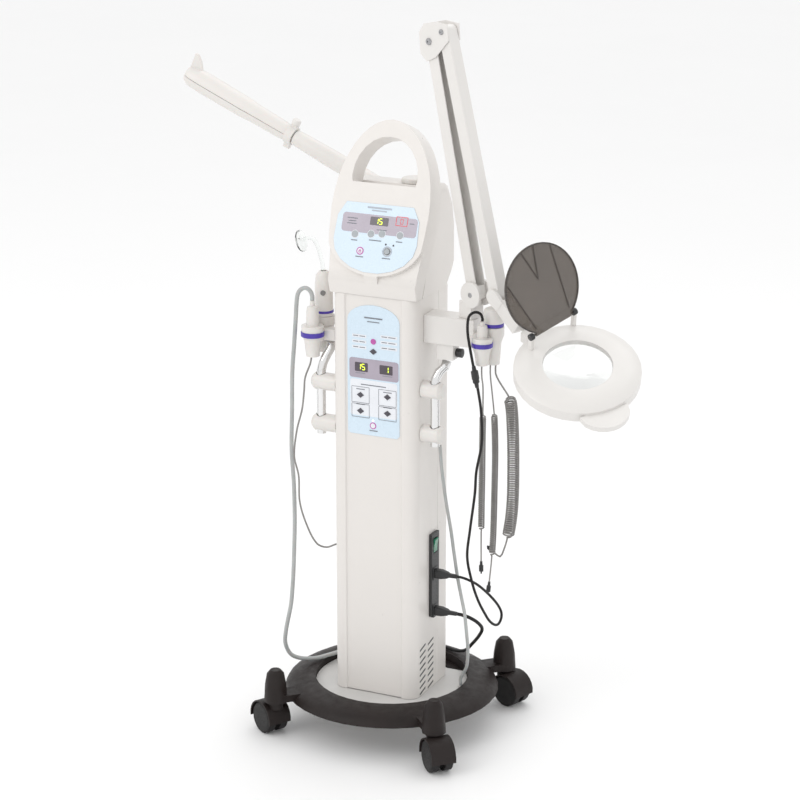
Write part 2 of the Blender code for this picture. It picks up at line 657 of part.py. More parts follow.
def head_axes():
    """The lamp head's outward, sideways and lens-normal directions."""
    outward = Vector((0.874, -0.337, -0.350)).normalized()
    normal = Vector((0.197, -0.413, 0.889))
    normal = (normal - normal.dot(outward) * outward).normalized()
    return outward, normal.cross(outward), normal


def head_frame():
    """On the head's roll axis below the lens: X away from the arm, Z out of the lens's top."""
    outward, _, normal = head_axes()
    return frame(in_plane(LENS_CENTRE) - HEAD_DROP * normal, outward, normal)


def raised(profile, by=HEAD_DROP):
    return [(radius, z + by) for radius, z in profile]


def make_neck():
    place = plane_frame(WRIST)
    centre = in_plane(LENS_CENTRE)
    outward, _, normal = head_axes()
    joint = centre - 0.128 * outward - HEAD_DROP * normal
    local = place.inverted() @ joint
    reach = math.hypot(local.x, local.y)
    turn = place @ Matrix.Rotation(math.atan2(local.y, local.x), 4, "Z")
    start, end, half = 0.018, reach - 0.010, 0.012
    outline = [(start, -half), (end, -half), (end, half), (start, half)]
    neck = prism("lamp_neck", outline, -0.0178, 0.0178, WHITE, turn)
    for z in (-0.0155, 0.0155):
        outline = arc((0, 0), 0.0135, 90, 270, 8) + [(0.024, -0.0115), (0.024, 0.0115)]
        join(neck, prism("cheek", outline, z - 0.0030, z + 0.0030, WHITE, turn))
    pin = cylinder("pin", 0.0030, -0.014, 0.014, WHITE, turn, 12)
    nose_place = frame(joint - 0.022 * outward, normal, outward)
    nose = cylinder("nose", 0.0060, 0.004, 0.030, WHITE, nose_place, 14)
    join(neck, pin, nose)


def make_lamp_head():
    place = head_frame()
    profile = [
        (0.0610, 0.0),
        (0.080, 0.0012),
        (0.100, -0.002),
        (HEAD_RADIUS, -0.009),
        (HEAD_RADIUS, -0.028),
        (HEAD_RADIUS - 0.003, -0.028),
        (HEAD_RADIUS - 0.003, -0.010),
        (0.098, -0.0055),
        (0.071, -0.0032),
        (0.0685, -0.0125),
        (0.0610, -0.0125),
    ]
    housing = ring_of("lamp_housing", raised(profile), WHITE, place, steps=32)
    tab_outline = arc((0.100, 0), 0.047, -62, 62, 8) + [(0.105, 0.0445), (0.105, -0.0445)]
    tab_place = place @ Matrix.Rotation(TAB_TURN, 4, "Z")
    tab = prism("tab", tab_outline, HEAD_DROP - 0.0240, HEAD_DROP - 0.0140, WHITE, tab_place)
    socket = block("socket", (-0.1265, -0.017, -0.0125), (-0.1060, 0.017, 0.0085), WHITE, place)
    quarter = Matrix.Rotation(math.radians(90), 4, "Y")
    nose_bore = cylinder("nose_bore", 0.0063, 0.0, 0.034, WHITE, place @ at((-0.150, 0, 0)) @ quarter, 14)
    x, y, z = COVER_HINGE
    ears = []
    for side in (-1, 1):
        middle = y + side * 0.0500
        low, high = (x - 0.004, middle - 0.003, 0.007), (x + 0.004, middle + 0.003, z + 0.004)
        ears.append(block("ear", low, high, WHITE, place))
    sideways = Matrix.Rotation(math.radians(-90), 4, "X")
    pin_bore = cylinder("pin_bore", 0.0016, -0.06, 0.06, WHITE, place @ at(COVER_HINGE) @ sideways, 10)
    cut(join(housing, tab, socket, *ears), nose_bore, pin_bore)

    lens = [
        (0, -0.0095),
        (0.035, -0.0085),
        (0.0603, -0.0062),
        (0.0603, -0.0052),
        (0.035, -0.0018),
        (0, 0.0),
    ]
    turned("magnifier_lens", raised(lens), GLASS, place, 24)
    tube = [(0.0865 + r, z - 0.0165) for r, z in arc((0, 0), 0.0075, 0, 300, 5)]
    ring_of("ring_tube", raised(tube), PHOSPHOR, place, steps=24)


def make_lens_cover():
    """Hinged on the head's rim beside the arm, and left standing open."""
    place = head_frame() @ at(COVER_HINGE) @ Matrix.Rotation(-COVER_OPEN, 4, "Y")
    sideways = place @ Matrix.Rotation(math.radians(-90), 4, "X")
    bow = arc((0.070, 0), COVER_RADIUS, -149, 149, 26)
    cover = prism("lens_cover", bow, -0.0050, -0.0025, SMOKE, place)
    strap = block("strap", (0.0, -0.0400, -0.0045), (0.012, 0.0400, 0.0), SMOKE, place)
    barrel = cylinder("barrel", 0.0040, -0.0405, 0.0405, SMOKE, sideways, 12)
    hinge_pin = cylinder("hinge_pin", 0.0013, -0.0545, 0.0545, SMOKE, sideways, 10)
    join(cover, strap, barrel, hinge_pin)


def make_lamp():
    low, high = (COLUMN_HALF_WIDTH + GAP, -0.044, BRACKET_BOTTOM), (BRACKET_END, 0.0, BRACKET_TOP)
    bracket = block("lamp_bracket", low, high, WHITE)
    swivel_bore = cylinder("swivel_bore", 0.0073, 0.770, 0.9, WHITE, at(LAMP_AXIS), 16)
    lug = block("lug", (0.1085, -0.038, 0.7345), (0.1400, -0.010, BRACKET_BOTTOM + 0.001), WHITE)
    across = frame((0, -0.022, 0.7460), (0, 1, 0), (1, 0, 0))
    knob_bore = cylinder("knob_bore", 0.0033, 0.126, 0.16, WHITE, across, 10)
    cut(join(bracket, lug), swivel_bore, knob_bore)
    knob = [(0, 0.1280), (0.0030, 0.1280), (0.0030, 0.1403)]
    knob += [(0.0080, 0.1403), (0.0085, 0.1520), (0, 0.1535)]
    turned("bracket_knob", knob, BLACK, across, 16)
    make_lamp_base()
    make_arm("lamp_lower_arm", LAMP_BASE_PIVOT, ELBOW_LOWER)
    make_elbow()
    make_arm("lamp_upper_arm", ELBOW_UPPER, WRIST)
    make_neck()
    make_lamp_head()
    make_lens_cover()


# ---------------------------------------------------------------- rails, holders and hand tools


def make_rail(name, side, route, lower_z, upper_z):
    cord(name, route, 2 * RAIL_RADIUS, CHROME, spacing=0.8)
    x = route[0][0]
    out = abs(x) + 0.016
    for level, z in (("lower", lower_z), ("upper", upper_z)):
        start = COLUMN_HALF_WIDTH + GAP
        place = frame((0, RAIL_Y, z), (0, 0, 1), (side, 0, 0))
        shape = [(0, start), (CLAMP_RADIUS, start), (CLAMP_RADIUS, out - 0.006)]
        shape += [(CLAMP_RADIUS - 0.005, out), (0, out)]
        clamp = turned(name + "_clamp_" + level, shape, WHITE, place, 14)
        bore_place = at((x, RAIL_Y, 0))
        cut(clamp, cylinder("rail_bore", RAIL_RADIUS + 3 * GAP, z - 0.05, z + 0.05, WHITE, bore_place, 16))


def cup(name, axis, top, bottom, radius):
    profile = [
        (0, bottom),
        (0.6 * radius, bottom),
        (0.74 * radius, top - 0.030),
        (0.98 * radius, top - 0.016),
        (radius, top),
        (0, top),
    ]
    return turned(name, profile, WHITE, at(axis), 14)


def cup_hole(axis, top, bottom, radius):
    return cylinder("cup_hole", radius, bottom + 0.008, top + 0.02, WHITE, at(axis), 14)


def cup_plug(axis, top, radius, height):
    """The plugged-in end of a tool's lead, which fills the cup in front."""
    profile = [
        (0, top - 0.010),
        (radius, top - 0.010),
        (radius, top + 0.55 * height),
        (0.86 * radius, top + 0.75 * height),
        (0.0048, top + 0.80 * height),
        (0.0042, top + height),
        (0, top + height),
    ]
    return turned("cup_plug", profile, WHITE, at(axis), 14)


def make_holders():
    tall = cup("right_tool_holder", PROBE_AXIS, 0.810, 0.741, 0.0195)
    low = cup("front_cup", RIGHT_FRONT_CUP, 0.7955, 0.7455, 0.0185)
    plug = cup_plug(RIGHT_FRONT_CUP, 0.7955, 0.0095, 0.0295)
    link = block("link", (BRACKET_END + GAP, -0.060, 0.776), (0.2209, -0.014, 0.792), WHITE)
    cut(join(tall, low, plug, link), cup_hole(PROBE_AXIS, 0.810, 0.741, 0.0110))
    probe = [
        (0, 0.753),
        (0.0100, 0.753),
        (0.0100, 0.8103),
        (0.0170, 0.8103),
        (0.0175, 0.816),
        (0.0188, 0.818),
        (0.0188, 0.834),
        (0.0165, 0.8415),
        (0.010, 0.8445),
        (0, 0.8445),
    ]
    turned("ultrasonic_probe", probe, WHITE, at(PROBE_AXIS), 20)

    tall = cup("left_tool_holder", HANDLE_AXIS, 0.780, 0.712, 0.0205)
    low = cup("front_cup", LEFT_FRONT_CUP, 0.770, 0.712, 0.0210)
    plug = cup_plug(LEFT_FRONT_CUP, 0.770, 0.0115, 0.0465)
    web = block("web", (-0.1440, -0.047, 0.7420), (-0.1180, -0.006, 0.7610), WHITE)
    seat = block("seat", (-0.1300, -0.0370, 0.7415 + GAP), (-0.0970, -0.0150, 0.7625), WHITE)
    cut(join(tall, low, plug, web, seat), cup_hole(HANDLE_AXIS, 0.780, 0.712, 0.0128))
    handle = [
        (0, 0.722),
        (0.0118, 0.722),
        (0.0118, 0.7803),
        (0.0172, 0.7803),
        (0.0168, 0.840),
        (0.0150, 0.856),
        (0.0080, 0.8640),
        (0.0052, 0.8640),
        (0.0052, 0.848),
        (0, 0.848),
    ]
    turned("hf_handle", handle, WHITE, at(HANDLE_AXIS), 20)
    make_electrode()


def make_electrode():
    """A bent glass stem with a mushroom disc on its end, pushed into the handle's collet."""
    route = [
        (0, 0, 0.8484),
        (-0.003, 0, 0.8784),
        (-0.011, 0, 0.905),
        (-0.018, -0.002, 0.9205),
        (-0.028, -0.004, 0.9235),
        (-0.038, -0.006, 0.9190),
    ]
    stem = cord("stem", route, 0.0078, GLASS, spacing=0.9)
    mesh = bpy.data.meshes.new_from_object(stem)
    ALL_PARTS.remove(stem)
    bpy.data.objects.remove(stem)
    glass = bpy.data.objects.new("glass_electrode", mesh)
    mesh.materials.clear()
    keep(glass, GLASS, at(HANDLE_AXIS))
    disc = [(0, -0.004), (0.012, -0.004), (0.0205, -0.001), (0.0205, 0.002), (0.012, 0.004), (0, 0.004)]
    face = frame((-0.042, -0.0065, 0.9165), (0, 1, 0), (-0.95, -0.05, -0.30))
    join(glass, turned("mushroom", disc, GLASS, at(HANDLE_AXIS) @ face, 18))


# ---------------------------------------------------------------- cords and hoses


RIGHT_RAIL = [
    (0.1090, RAIL_Y, 0.5720),
    (0.1090, RAIL_Y, 0.6400),
    (0.1090, RAIL_Y, 0.6940),
    (0.1135, -0.0380, 0.7105),
    (0.1225, -0.0250, 0.7215),
    (0.1225, -0.0245, 0.7300),
]
LEFT_RAIL = [
    (-0.1210, RAIL_Y, 0.5660),
    (-0.1210, RAIL_Y, 0.6300),
    (-0.1210, RAIL_Y, 0.6840),
    (-0.1170, -0.0390, 0.7060),
    (-0.1090, -0.0270, 0.7280),
    (-0.1085, -0.0260, 0.7400),
]


def coil_swelling(start, end, thin):
    """A spiral cord's tube: thin, then as wide as the spiral between the shares start and end."""
    def width(share):
        rise = min((share - start) / 0.06, (end - share) / 0.06, 1.0)
        return thin + (1 - thin) * max(0.0, rise)
    return width


def make_cords():
    cord("lamp_lead", [
        (0.2121, -0.0730, 0.8260),
        (0.2119, -0.0732, 0.8315),
        (0.2091, -0.0755, 0.8390),
        (0.2021, -0.0805, 0.8425),
        (0.1946, -0.0855, 0.8385),
        (0.1911, -0.0880, 0.8295),
        (0.1913, -0.0895, 0.8056),
        (0.1990, -0.0945, 0.7756),
        (0.2050, -0.0915, 0.7400),
        (0.2095, -0.0830, 0.7000),
        (0.2100, -0.0700, 0.6570),
        (0.2060, -0.0570, 0.5950),
        (0.1930, -0.0500, 0.5360),
        (0.1880, -0.0440, 0.4930),
        (0.1760, -0.0380, 0.4160),
        (0.1660, -0.0260, 0.3600),
        (0.1690, -0.0100, 0.3060),
        (0.1720, 0.0100, 0.2650),
        (0.1765, 0.0300, 0.2330),
        (0.1805, 0.0520, 0.2060),
        (0.1835, 0.0790, 0.1915),
        (0.1840, 0.0960, 0.2020),
        (0.1825, 0.0890, 0.2220),
        (0.1770, 0.0560, 0.2570),
        (0.1660, 0.0220, 0.2890),
        (0.1540, 0.0010, 0.3050),
        (0.1440, -0.0038, 0.3090),
        (0.1373, -0.0040, 0.3090),
    ], 0.0050, BLACK)
    cord("mains_lead", [
        (0.1379, -0.0040, 0.2350),
        (0.1471, -0.0035, 0.2345),
        (0.1608, 0.0020, 0.2290),
        (0.1715, 0.0140, 0.2165),
        (0.1706, 0.0350, 0.1973),
        (0.1530, 0.0620, 0.1700),
        (0.1256, 0.0920, 0.1370),
        (0.0980, 0.1210, 0.1080),
        (0.0700, 0.1390, 0.0960),
        (0.0350, 0.1510, 0.0945),
        (0.0000, 0.1550, 0.0943),
        (-0.0300, 0.1580, 0.0943),
        (-0.0500, 0.1680, 0.0920),
        (-0.0600, 0.1800, 0.0870),
        (-0.0655, 0.1935, 0.0795),
        (-0.0695, 0.2030, 0.0690),
        (-0.0722, 0.2095, 0.0550),
        (-0.0745, 0.2145, 0.0400),
        (-0.0765, 0.2205, 0.0255),
        (-0.0785, 0.2300, 0.0130),
        (-0.0797, 0.2420, 0.0060),
        (-0.0800, 0.2545, 0.0040),
    ], LEAD_DIAMETER, BLACK, spacing=2.4)
    cord("left_hose", [
        (-0.1370, -0.0470, 0.8172),
        (-0.1372, -0.0470, 0.8250),
        (-0.1405, -0.0474, 0.8335),
        (-0.1480, -0.0482, 0.8390),
        (-0.1570, -0.0492, 0.8370),
        (-0.1640, -0.0500, 0.8290),
        (-0.1670, -0.0506, 0.8150),
        (-0.1690, -0.0512, 0.7850),
        (-0.1730, -0.0520, 0.7290),
        (-0.1780, -0.0510, 0.6750),
        (-0.1800, -0.0500, 0.6030),
        (-0.1820, -0.0500, 0.5270),
        (-0.1780, -0.0500, 0.4530),
        (-0.1780, -0.0500, 0.3610),
        (-0.1830, -0.0560, 0.2290),
        (-0.1930, -0.0620, 0.1650),
        (-0.1950, -0.0600, 0.1360),
        (-0.1850, -0.0500, 0.1110),
        (-0.1600, -0.0200, 0.0980),
        (-0.1380, 0.0200, 0.0960),
        (-0.1150, 0.0600, 0.0990),
        (-0.0780, 0.0920, 0.1110),
        (-0.0450, 0.1040, 0.1240),
        (-0.0310, 0.0950, 0.1310),
        (-0.0300, 0.0785, 0.1330),
    ], 0.0080, HOSE, spacing=1.9)
    cord("left_lead", [
        (-0.1390, -0.0480, 0.7110),
        (-0.1400, -0.0520, 0.6980),
        (-0.1430, -0.0670, 0.6750),
        (-0.1440, -0.0700, 0.6500),
        (-0.1480, -0.0710, 0.6150),
        (-0.1600, -0.0700, 0.5720),
        (-0.1660, -0.0700, 0.5210),
        (-0.1600, -0.0650, 0.4820),
        (-0.1610, -0.0600, 0.4290),
        (-0.1520, -0.0500, 0.3810),
        (-0.1370, -0.0400, 0.3440),
        (-0.1230, -0.0280, 0.3340),
        (-0.1060, -0.0200, 0.3400),
        (-0.0903, -0.0200, 0.3450),
    ], 0.0034, GREY, spacing=3.0)
    cord("air_hose", [
        (0.1120, -0.0300, 0.5690),
        (0.1125, -0.0250, 0.5300),
        (0.1130, -0.0150, 0.4900),
        (0.1139, -0.0040, 0.4470),
        (0.1185, 0.0060, 0.3950),
        (0.1239, 0.0100, 0.3458),
        (0.1316, 0.0110, 0.2959),
        (0.1449, -0.0010, 0.2636),
        (0.1549, -0.0110, 0.2418),
        (0.1591, -0.0100, 0.2006),
        (0.1574, 0.0000, 0.1658),
        (0.1500, 0.0120, 0.1267),
        (0.1390, 0.0190, 0.1050),
        (0.1345, 0.0200, 0.0960),
        (0.1345, 0.0200, PLATE_TOP + GROMMET_HEIGHT + 2 * GAP),
    ], 0.0062, HOSE, spacing=2.0)


def make_curly_cords():
    cord("curly_cord_right", [
        (0.2244, -0.0398, 0.7405),
        (0.2246, -0.0392, 0.7200),
        (0.2300, -0.0200, 0.6920),
        (0.2370, 0.0000, 0.6600),
        (0.2390, 0.0080, 0.6000),
        (0.2400, 0.0100, 0.5200),
        (0.2390, 0.0100, 0.4600),
        (0.2340, 0.0100, 0.4150),
        (0.2240, 0.0120, 0.3750),
        (0.2110, 0.0180, 0.3520),
        (0.1980, 0.0260, 0.3560),
    ], 0.0230, GREY, 0.75, coil_swelling(0.18, 0.86, 0.19))
    cord("curly_cord_middle", [
        (0.2174, -0.0478, 0.7405),
        (0.2172, -0.0470, 0.7200),
        (0.2130, -0.0280, 0.6800),
        (0.2090, -0.0080, 0.6300),
        (0.2080, 0.0000, 0.5600),
        (0.2070, 0.0010, 0.4800),
        (0.2060, 0.0000, 0.4000),
        (0.2040, -0.0020, 0.3500),
        (0.2010, -0.0040, 0.3100),
    ], 0.0125, GREY, 1.3, coil_swelling(0.24, 0.90, 0.29))


def make_coil_and_plug():
    half_width, height = 1.55 * LEAD_DIAMETER, 2.05 * LEAD_DIAMETER
    inner, outer = COIL_RADIUS - half_width, COIL_RADIUS + half_width
    profile = [(inner, 0.0004), (outer, 0.0004), (outer, height), (inner, height)]
    ring_of("mains_coil", profile, BLACK, at(COIL_CENTRE), steps=32)

    # The plug lies behind the coil, its lead leaving the coil's outer turn towards -X.
    side = outer - LEAD_DIAMETER / 2
    reach = math.sqrt(outer**2 - (side - LEAD_DIAMETER / 2) ** 2) + 2 * GAP
    tail = COIL_CENTRE + Vector((-reach, side, 0.0080))
    place = frame(tail, (0, 1, 0), (-1, 0, 0))
    rings = []
    for along, half_x, half_y in (
        (0.0, 0.0034, 0.0034),
        (0.016, 0.0045, 0.0045),
        (0.022, 0.0070, 0.0060),
        (0.036, 0.0135, 0.0072),
        (0.050, 0.0150, 0.0074),
        (0.054, 0.0150, 0.0074),
    ):
        rings.append([(x, y, along) for x, y in rounded(half_x, half_y, 0.6 * half_y, 2)])
    plug = solid("wall_plug", rings, BLACK, place)
    for x in (-0.0095, 0.0095):
        pin = cylinder("pin", 0.0024, 0.050, 0.073, CHROME, place @ at((x, 0, 0)), 10)
        join(plug, pin)


def main():
    for obj in list(bpy.data.objects):
        bpy.data.objects.remove(obj)
    make_base()
    for name, angle in CASTOR_ANGLES.items():
        make_castor(name, angle, CASTOR_TRAIL_ANGLES[name])
    make_column()
    make_power()
    make_console()
    make_steam_arm()
    make_lamp()
    make_rail("right_rail", 1, RIGHT_RAIL, 0.594, 0.677)
    make_rail("left_rail", -1, LEFT_RAIL, 0.587, 0.666)
    make_holders()
    make_cords()
    make_curly_cords()
    make_coil_and_plug()
    root = bpy.data.objects.new("steamer_origin", None)
    root.location = COLUMN_AXIS
    bpy.context.scene.collection.objects.link(root)
    for obj in ALL_PARTS:
        obj.parent = root


main()
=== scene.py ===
"""The looks of a facial steamer tower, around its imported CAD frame.

Metres, +Z up, the front faces -Y. Places are measured from the column's own axis on the floor,
as in the CAD design, and COLUMN_AXIS then shifts them into the frame.
"""

import json
import math

import bmesh
import bpy
from mathutils import Matrix, Vector

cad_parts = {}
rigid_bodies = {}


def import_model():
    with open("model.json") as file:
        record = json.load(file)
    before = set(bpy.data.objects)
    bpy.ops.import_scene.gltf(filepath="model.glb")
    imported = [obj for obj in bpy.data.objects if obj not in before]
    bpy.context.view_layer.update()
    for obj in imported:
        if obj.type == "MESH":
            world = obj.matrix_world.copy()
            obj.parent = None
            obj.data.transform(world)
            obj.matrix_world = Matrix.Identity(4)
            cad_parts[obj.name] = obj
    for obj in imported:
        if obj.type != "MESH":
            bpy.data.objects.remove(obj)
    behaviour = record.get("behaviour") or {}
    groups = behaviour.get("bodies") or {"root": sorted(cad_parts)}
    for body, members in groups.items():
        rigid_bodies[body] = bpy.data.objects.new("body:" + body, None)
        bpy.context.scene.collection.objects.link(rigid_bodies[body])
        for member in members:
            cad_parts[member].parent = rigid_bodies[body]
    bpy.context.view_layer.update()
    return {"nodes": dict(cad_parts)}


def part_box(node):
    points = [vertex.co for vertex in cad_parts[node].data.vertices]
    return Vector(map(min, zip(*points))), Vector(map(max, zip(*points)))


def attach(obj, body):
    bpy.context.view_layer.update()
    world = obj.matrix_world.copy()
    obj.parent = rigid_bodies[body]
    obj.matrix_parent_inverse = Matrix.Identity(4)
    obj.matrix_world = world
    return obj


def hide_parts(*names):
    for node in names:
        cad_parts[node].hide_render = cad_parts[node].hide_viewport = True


for startup_object in list(bpy.data.objects):
    bpy.data.objects.remove(startup_object)
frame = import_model()

COLUMN_HALF_DEPTH = 0.077
cover_low, cover_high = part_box("column_front_cover")
COLUMN_AXIS = Vector(((cover_low[0] + cover_high[0]) / 2, cover_low[1] + COLUMN_HALF_DEPTH, 0.0))
PLATE_TOP = 0.078
COLUMN_SIDE = 0.085
PANEL_FACE = -0.0751
CHIN = Vector((0.0, -0.088, 0.886))
FACE_LEAN = math.radians(20)
LAMP_AXIS = Vector((0.170, -0.022, 0.0))
LAMP_TURN = math.radians(-21.1)
LAMP_BASE_PIVOT = (0.012, 0.861)
ELBOW_LOWER = (-0.0965, 1.298)
ELBOW_UPPER = (-0.066, 1.318)
WRIST = (0.066, 0.868)
LENS_CENTRE = (0.2561, 0.782)
HEAD_DROP = 0.013
HEAD_OUTWARD = Vector((0.874, -0.337, -0.350)).normalized()
LENS_NORMAL = Vector((0.197, -0.413, 0.889))
COVER_HINGE = (-0.081, 0.015, 0.041)
COVER_OPEN = math.radians(120)
VENT_COLUMNS = (-0.0440, -0.0090)
VENT_ROWS = 8
VENT_BOTTOM = 0.0860
VENT_STEP = 0.0125
VENT_SLANT = 0.0028
PROBE_AXIS = Vector((0.2209, -0.0438, 0.0))
RIGHT_FRONT_CUP = Vector((0.2121, -0.0730, 0.0))
HANDLE_AXIS = Vector((-0.1340, -0.006, 0.0))
LEFT_FRONT_CUP = Vector((-0.1370, -0.047, 0.0))
COIL_CENTRE = Vector((-0.116, 0.288, 0.0))
COIL_RADIUS = 0.036
LEAD_DIAMETER = 0.0065

# ---------------------------------------------------------------- materials


def node(tree, kind, **settings):
    """Adds a shader node with its input values or settings."""
    made = tree.nodes.new(kind)
    for key, value in settings.items():
        if key in made.inputs:
            made.inputs[key].default_value = value
        else:
            setattr(made, key, value)
    return made


def surface(
    name, colour, roughness, metallic=0.0, blotch=0.04, blotch_scale=9.0, grain=0.0, grain_scale=900.0,
    stretch=(1.0, 1.0, 1.0), edge_wear_and_highlight=0.0, coat=0.0, **shader_values,
):
    """A finish with uneven colour and gloss, a fine grain, and paler convex edges that are partly edge wear
    and partly a painted highlight.
    """
    made = bpy.data.materials.new(name)
    made.use_nodes = True
    tree = made.node_tree
    link = tree.links.new
    shader = tree.nodes["Principled BSDF"]
    shader.inputs["Metallic"].default_value = metallic
    shader.inputs["Coat Weight"].default_value = coat
    shader.inputs["Coat Roughness"].default_value = 0.12
    for key, value in shader_values.items():
        shader.inputs[key.replace("_", " ")].default_value = value
    coords = node(tree, "ShaderNodeTexCoord")
    mapping = node(tree, "ShaderNodeMapping", Scale=stretch)
    link(coords.outputs["Object"], mapping.inputs["Vector"])
    clouds = node(tree, "ShaderNodeTexNoise", Scale=blotch_scale, Detail=4.0, Roughness=0.55)
    link(mapping.outputs["Vector"], clouds.inputs["Vector"])
    shades = node(tree, "ShaderNodeValToRGB")
    shades.color_ramp.elements[0].position = 0.32
    shades.color_ramp.elements[1].position = 0.68
    shades.color_ramp.elements[0].color = (*[c * (1 - blotch) for c in colour], 1)
    shades.color_ramp.elements[1].color = (*[min(1.0, c * (1 + 0.6 * blotch)) for c in colour], 1)
    link(clouds.outputs["Fac"], shades.inputs["Fac"])
    base = shades.outputs["Color"]
    # Paler colour on convex edges, found by pointiness: partly real edge wear, partly a painted edge
    # highlight.
    if edge_wear_and_highlight:
        geometry = node(tree, "ShaderNodeNewGeometry")
        edges = node(tree, "ShaderNodeMapRange", clamp=True)
        edges.inputs["From Min"].default_value = 0.54
        edges.inputs["From Max"].default_value = 0.68
        edges.inputs["To Max"].default_value = edge_wear_and_highlight
        link(geometry.outputs["Pointiness"], edges.inputs["Value"])
        worn_and_highlit = node(tree, "ShaderNodeMix", data_type="RGBA")
        link(edges.outputs["Result"], worn_and_highlit.inputs["Factor"])
        link(base, worn_and_highlit.inputs["A"])
        worn_and_highlit.inputs["B"].default_value = (*[0.5 * c + 0.45 for c in colour], 1)
        base = worn_and_highlit.outputs["Result"]
    link(base, shader.inputs["Base Color"])
    smudges = node(tree, "ShaderNodeTexNoise", Scale=blotch_scale * 5, Detail=6.0, Roughness=0.6)
    link(mapping.outputs["Vector"], smudges.inputs["Vector"])
    gloss = node(tree, "ShaderNodeMapRange")
    gloss.inputs["From Min"].default_value = 0.3
    gloss.inputs["From Max"].default_value = 0.7
    gloss.inputs["To Min"].default_value = max(0.02, roughness * 0.80)
    gloss.inputs["To Max"].default_value = min(1.0, roughness * 1.25)
    link(smudges.outputs["Fac"], gloss.inputs["Value"])
    link(gloss.outputs["Result"], shader.inputs["Roughness"])
    if grain:
        fine = node(tree, "ShaderNodeTexNoise", Scale=grain_scale, Detail=3.0, Roughness=0.6)
        link(mapping.outputs["Vector"], fine.inputs["Vector"])
        bump = node(tree, "ShaderNodeBump", Strength=grain, Distance=0.0006)
        link(fine.outputs["Fac"], bump.inputs["Height"])
        link(bump.outputs["Normal"], shader.inputs["Normal"])
    return made


WHITE = surface(
    "moulded_white", (0.735, 0.710, 0.680), 0.34, blotch=0.025, grain=0.10, grain_scale=1400,
    coat=0.12, Subsurface_Weight=0.04, Subsurface_Scale=0.004,
)
SHELL = surface(
    "shell_white", (0.745, 0.715, 0.685), 0.34, blotch=0.012, grain=0.05, grain_scale=1200,
    coat=0.10,
)
LAMP_WHITE = surface(
    "lamp_white", (0.750, 0.730, 0.705), 0.36, blotch=0.02, grain=0.08, grain_scale=1500,
    coat=0.15,
)
# Its faintly paler edges are partly wear and partly a painted highlight.
DARK = surface(
    "brown_black_moulding", (0.017, 0.012, 0.011), 0.46, blotch=0.20, blotch_scale=14,
    grain=0.30, grain_scale=1100, edge_wear_and_highlight=0.02, Specular_IOR_Level=0.25,
)
FILM = surface(
    "pale_blue_film", (0.625, 0.745, 0.845), 0.28, blotch=0.012, blotch_scale=16, grain=0.05,
    grain_scale=2600, coat=0.25,
)
FILM_WHITE = surface(
    "white_print", (0.78, 0.80, 0.84), 0.3, blotch=0.03, blotch_scale=30, grain=0.05,
)
DISPLAY = surface(
    "mauve_window", (0.38, 0.335, 0.40), 0.14, blotch=0.08, blotch_scale=22, coat=0.6,
    grain=0.03,
)
DISPLAY_DARK = surface(
    "dark_window", (0.060, 0.045, 0.062), 0.12, blotch=0.2, blotch_scale=60, coat=0.6,
)
PRINT = surface("grey_print", (0.20, 0.21, 0.24), 0.4, blotch=0.15, blotch_scale=120)
PRINT_PALE = surface("pale_grey_print", (0.44, 0.48, 0.54), 0.4, blotch=0.10, blotch_scale=120)
KEY_GREY = surface(
    "grey_key", (0.40, 0.43, 0.45), 0.42, blotch=0.08, blotch_scale=90, grain=0.2,
    grain_scale=3000,
)
KEY_DARK = surface(
    "dark_key", (0.075, 0.070, 0.085), 0.4, blotch=0.2, blotch_scale=120, grain=0.2,
    grain_scale=3000,
)
MAGENTA = surface("magenta_print", (0.50, 0.10, 0.38), 0.35, blotch=0.12, blotch_scale=120)
PURPLE = surface(
    "purple_band", (0.060, 0.030, 0.36), 0.32, blotch=0.12, blotch_scale=60, grain=0.1,
    coat=0.2,
)
# Its paler edges are partly wear and partly a painted highlight.
STEEL = surface(
    "painted_steel", (0.60, 0.59, 0.575), 0.38, blotch=0.05, blotch_scale=12, grain=0.25,
    grain_scale=700, edge_wear_and_highlight=0.25,
)
CHROME = surface(
    "chrome", (0.80, 0.80, 0.80), 0.07, metallic=1.0, blotch=0.05, blotch_scale=30, grain=0.03,
    grain_scale=2200, stretch=(1.0, 1.0, 0.12),
)
SCREW = surface(
    "zinc_screw", (0.42, 0.42, 0.43), 0.30, metallic=1.0, blotch=0.15, blotch_scale=200,
    grain=0.2, grain_scale=4000,
)
# Its paler edges are partly wear and partly a painted highlight.
BLACK = surface(
    "black_moulding", (0.018, 0.018, 0.019), 0.38, blotch=0.25, blotch_scale=60, grain=0.3,
    grain_scale=1800, edge_wear_and_highlight=0.12,
)
RUBBER = surface(
    "black_rubber", (0.014, 0.013, 0.013), 0.50, blotch=0.30, blotch_scale=80, grain=0.25,
    grain_scale=2500, Specular_IOR_Level=0.30,
)
GREY = surface(
    "grey_moulding", (0.205, 0.200, 0.195), 0.45, blotch=0.10, blotch_scale=60, grain=0.2,
    grain_scale=1800,
)
LEAD_GREY = surface(
    "grey_lead", (0.265, 0.255, 0.245), 0.48, blotch=0.14, blotch_scale=90, grain=0.2,
    grain_scale=2600,
)
HOSE = surface(
    "grey_hose", (0.43, 0.445, 0.44), 0.36, blotch=0.08, blotch_scale=40, grain=0.10,
    grain_scale=1600, Subsurface_Weight=0.08, Subsurface_Scale=0.004,
)
GREEN = surface(
    "green_rocker", (0.030, 0.26, 0.145), 0.18, blotch=0.12, blotch_scale=120, coat=0.4,
    Transmission_Weight=0.15,
)
GLASS = surface(
    "clear_glass", (0.95, 0.97, 0.96), 0.03, blotch=0.01, blotch_scale=30,
    Transmission_Weight=1.0, IOR=1.50,
)
LENS = surface(
    "lens_glass", (0.97, 0.98, 0.97), 0.02, blotch=0.005, blotch_scale=20,
    Transmission_Weight=1.0, IOR=1.52,
)
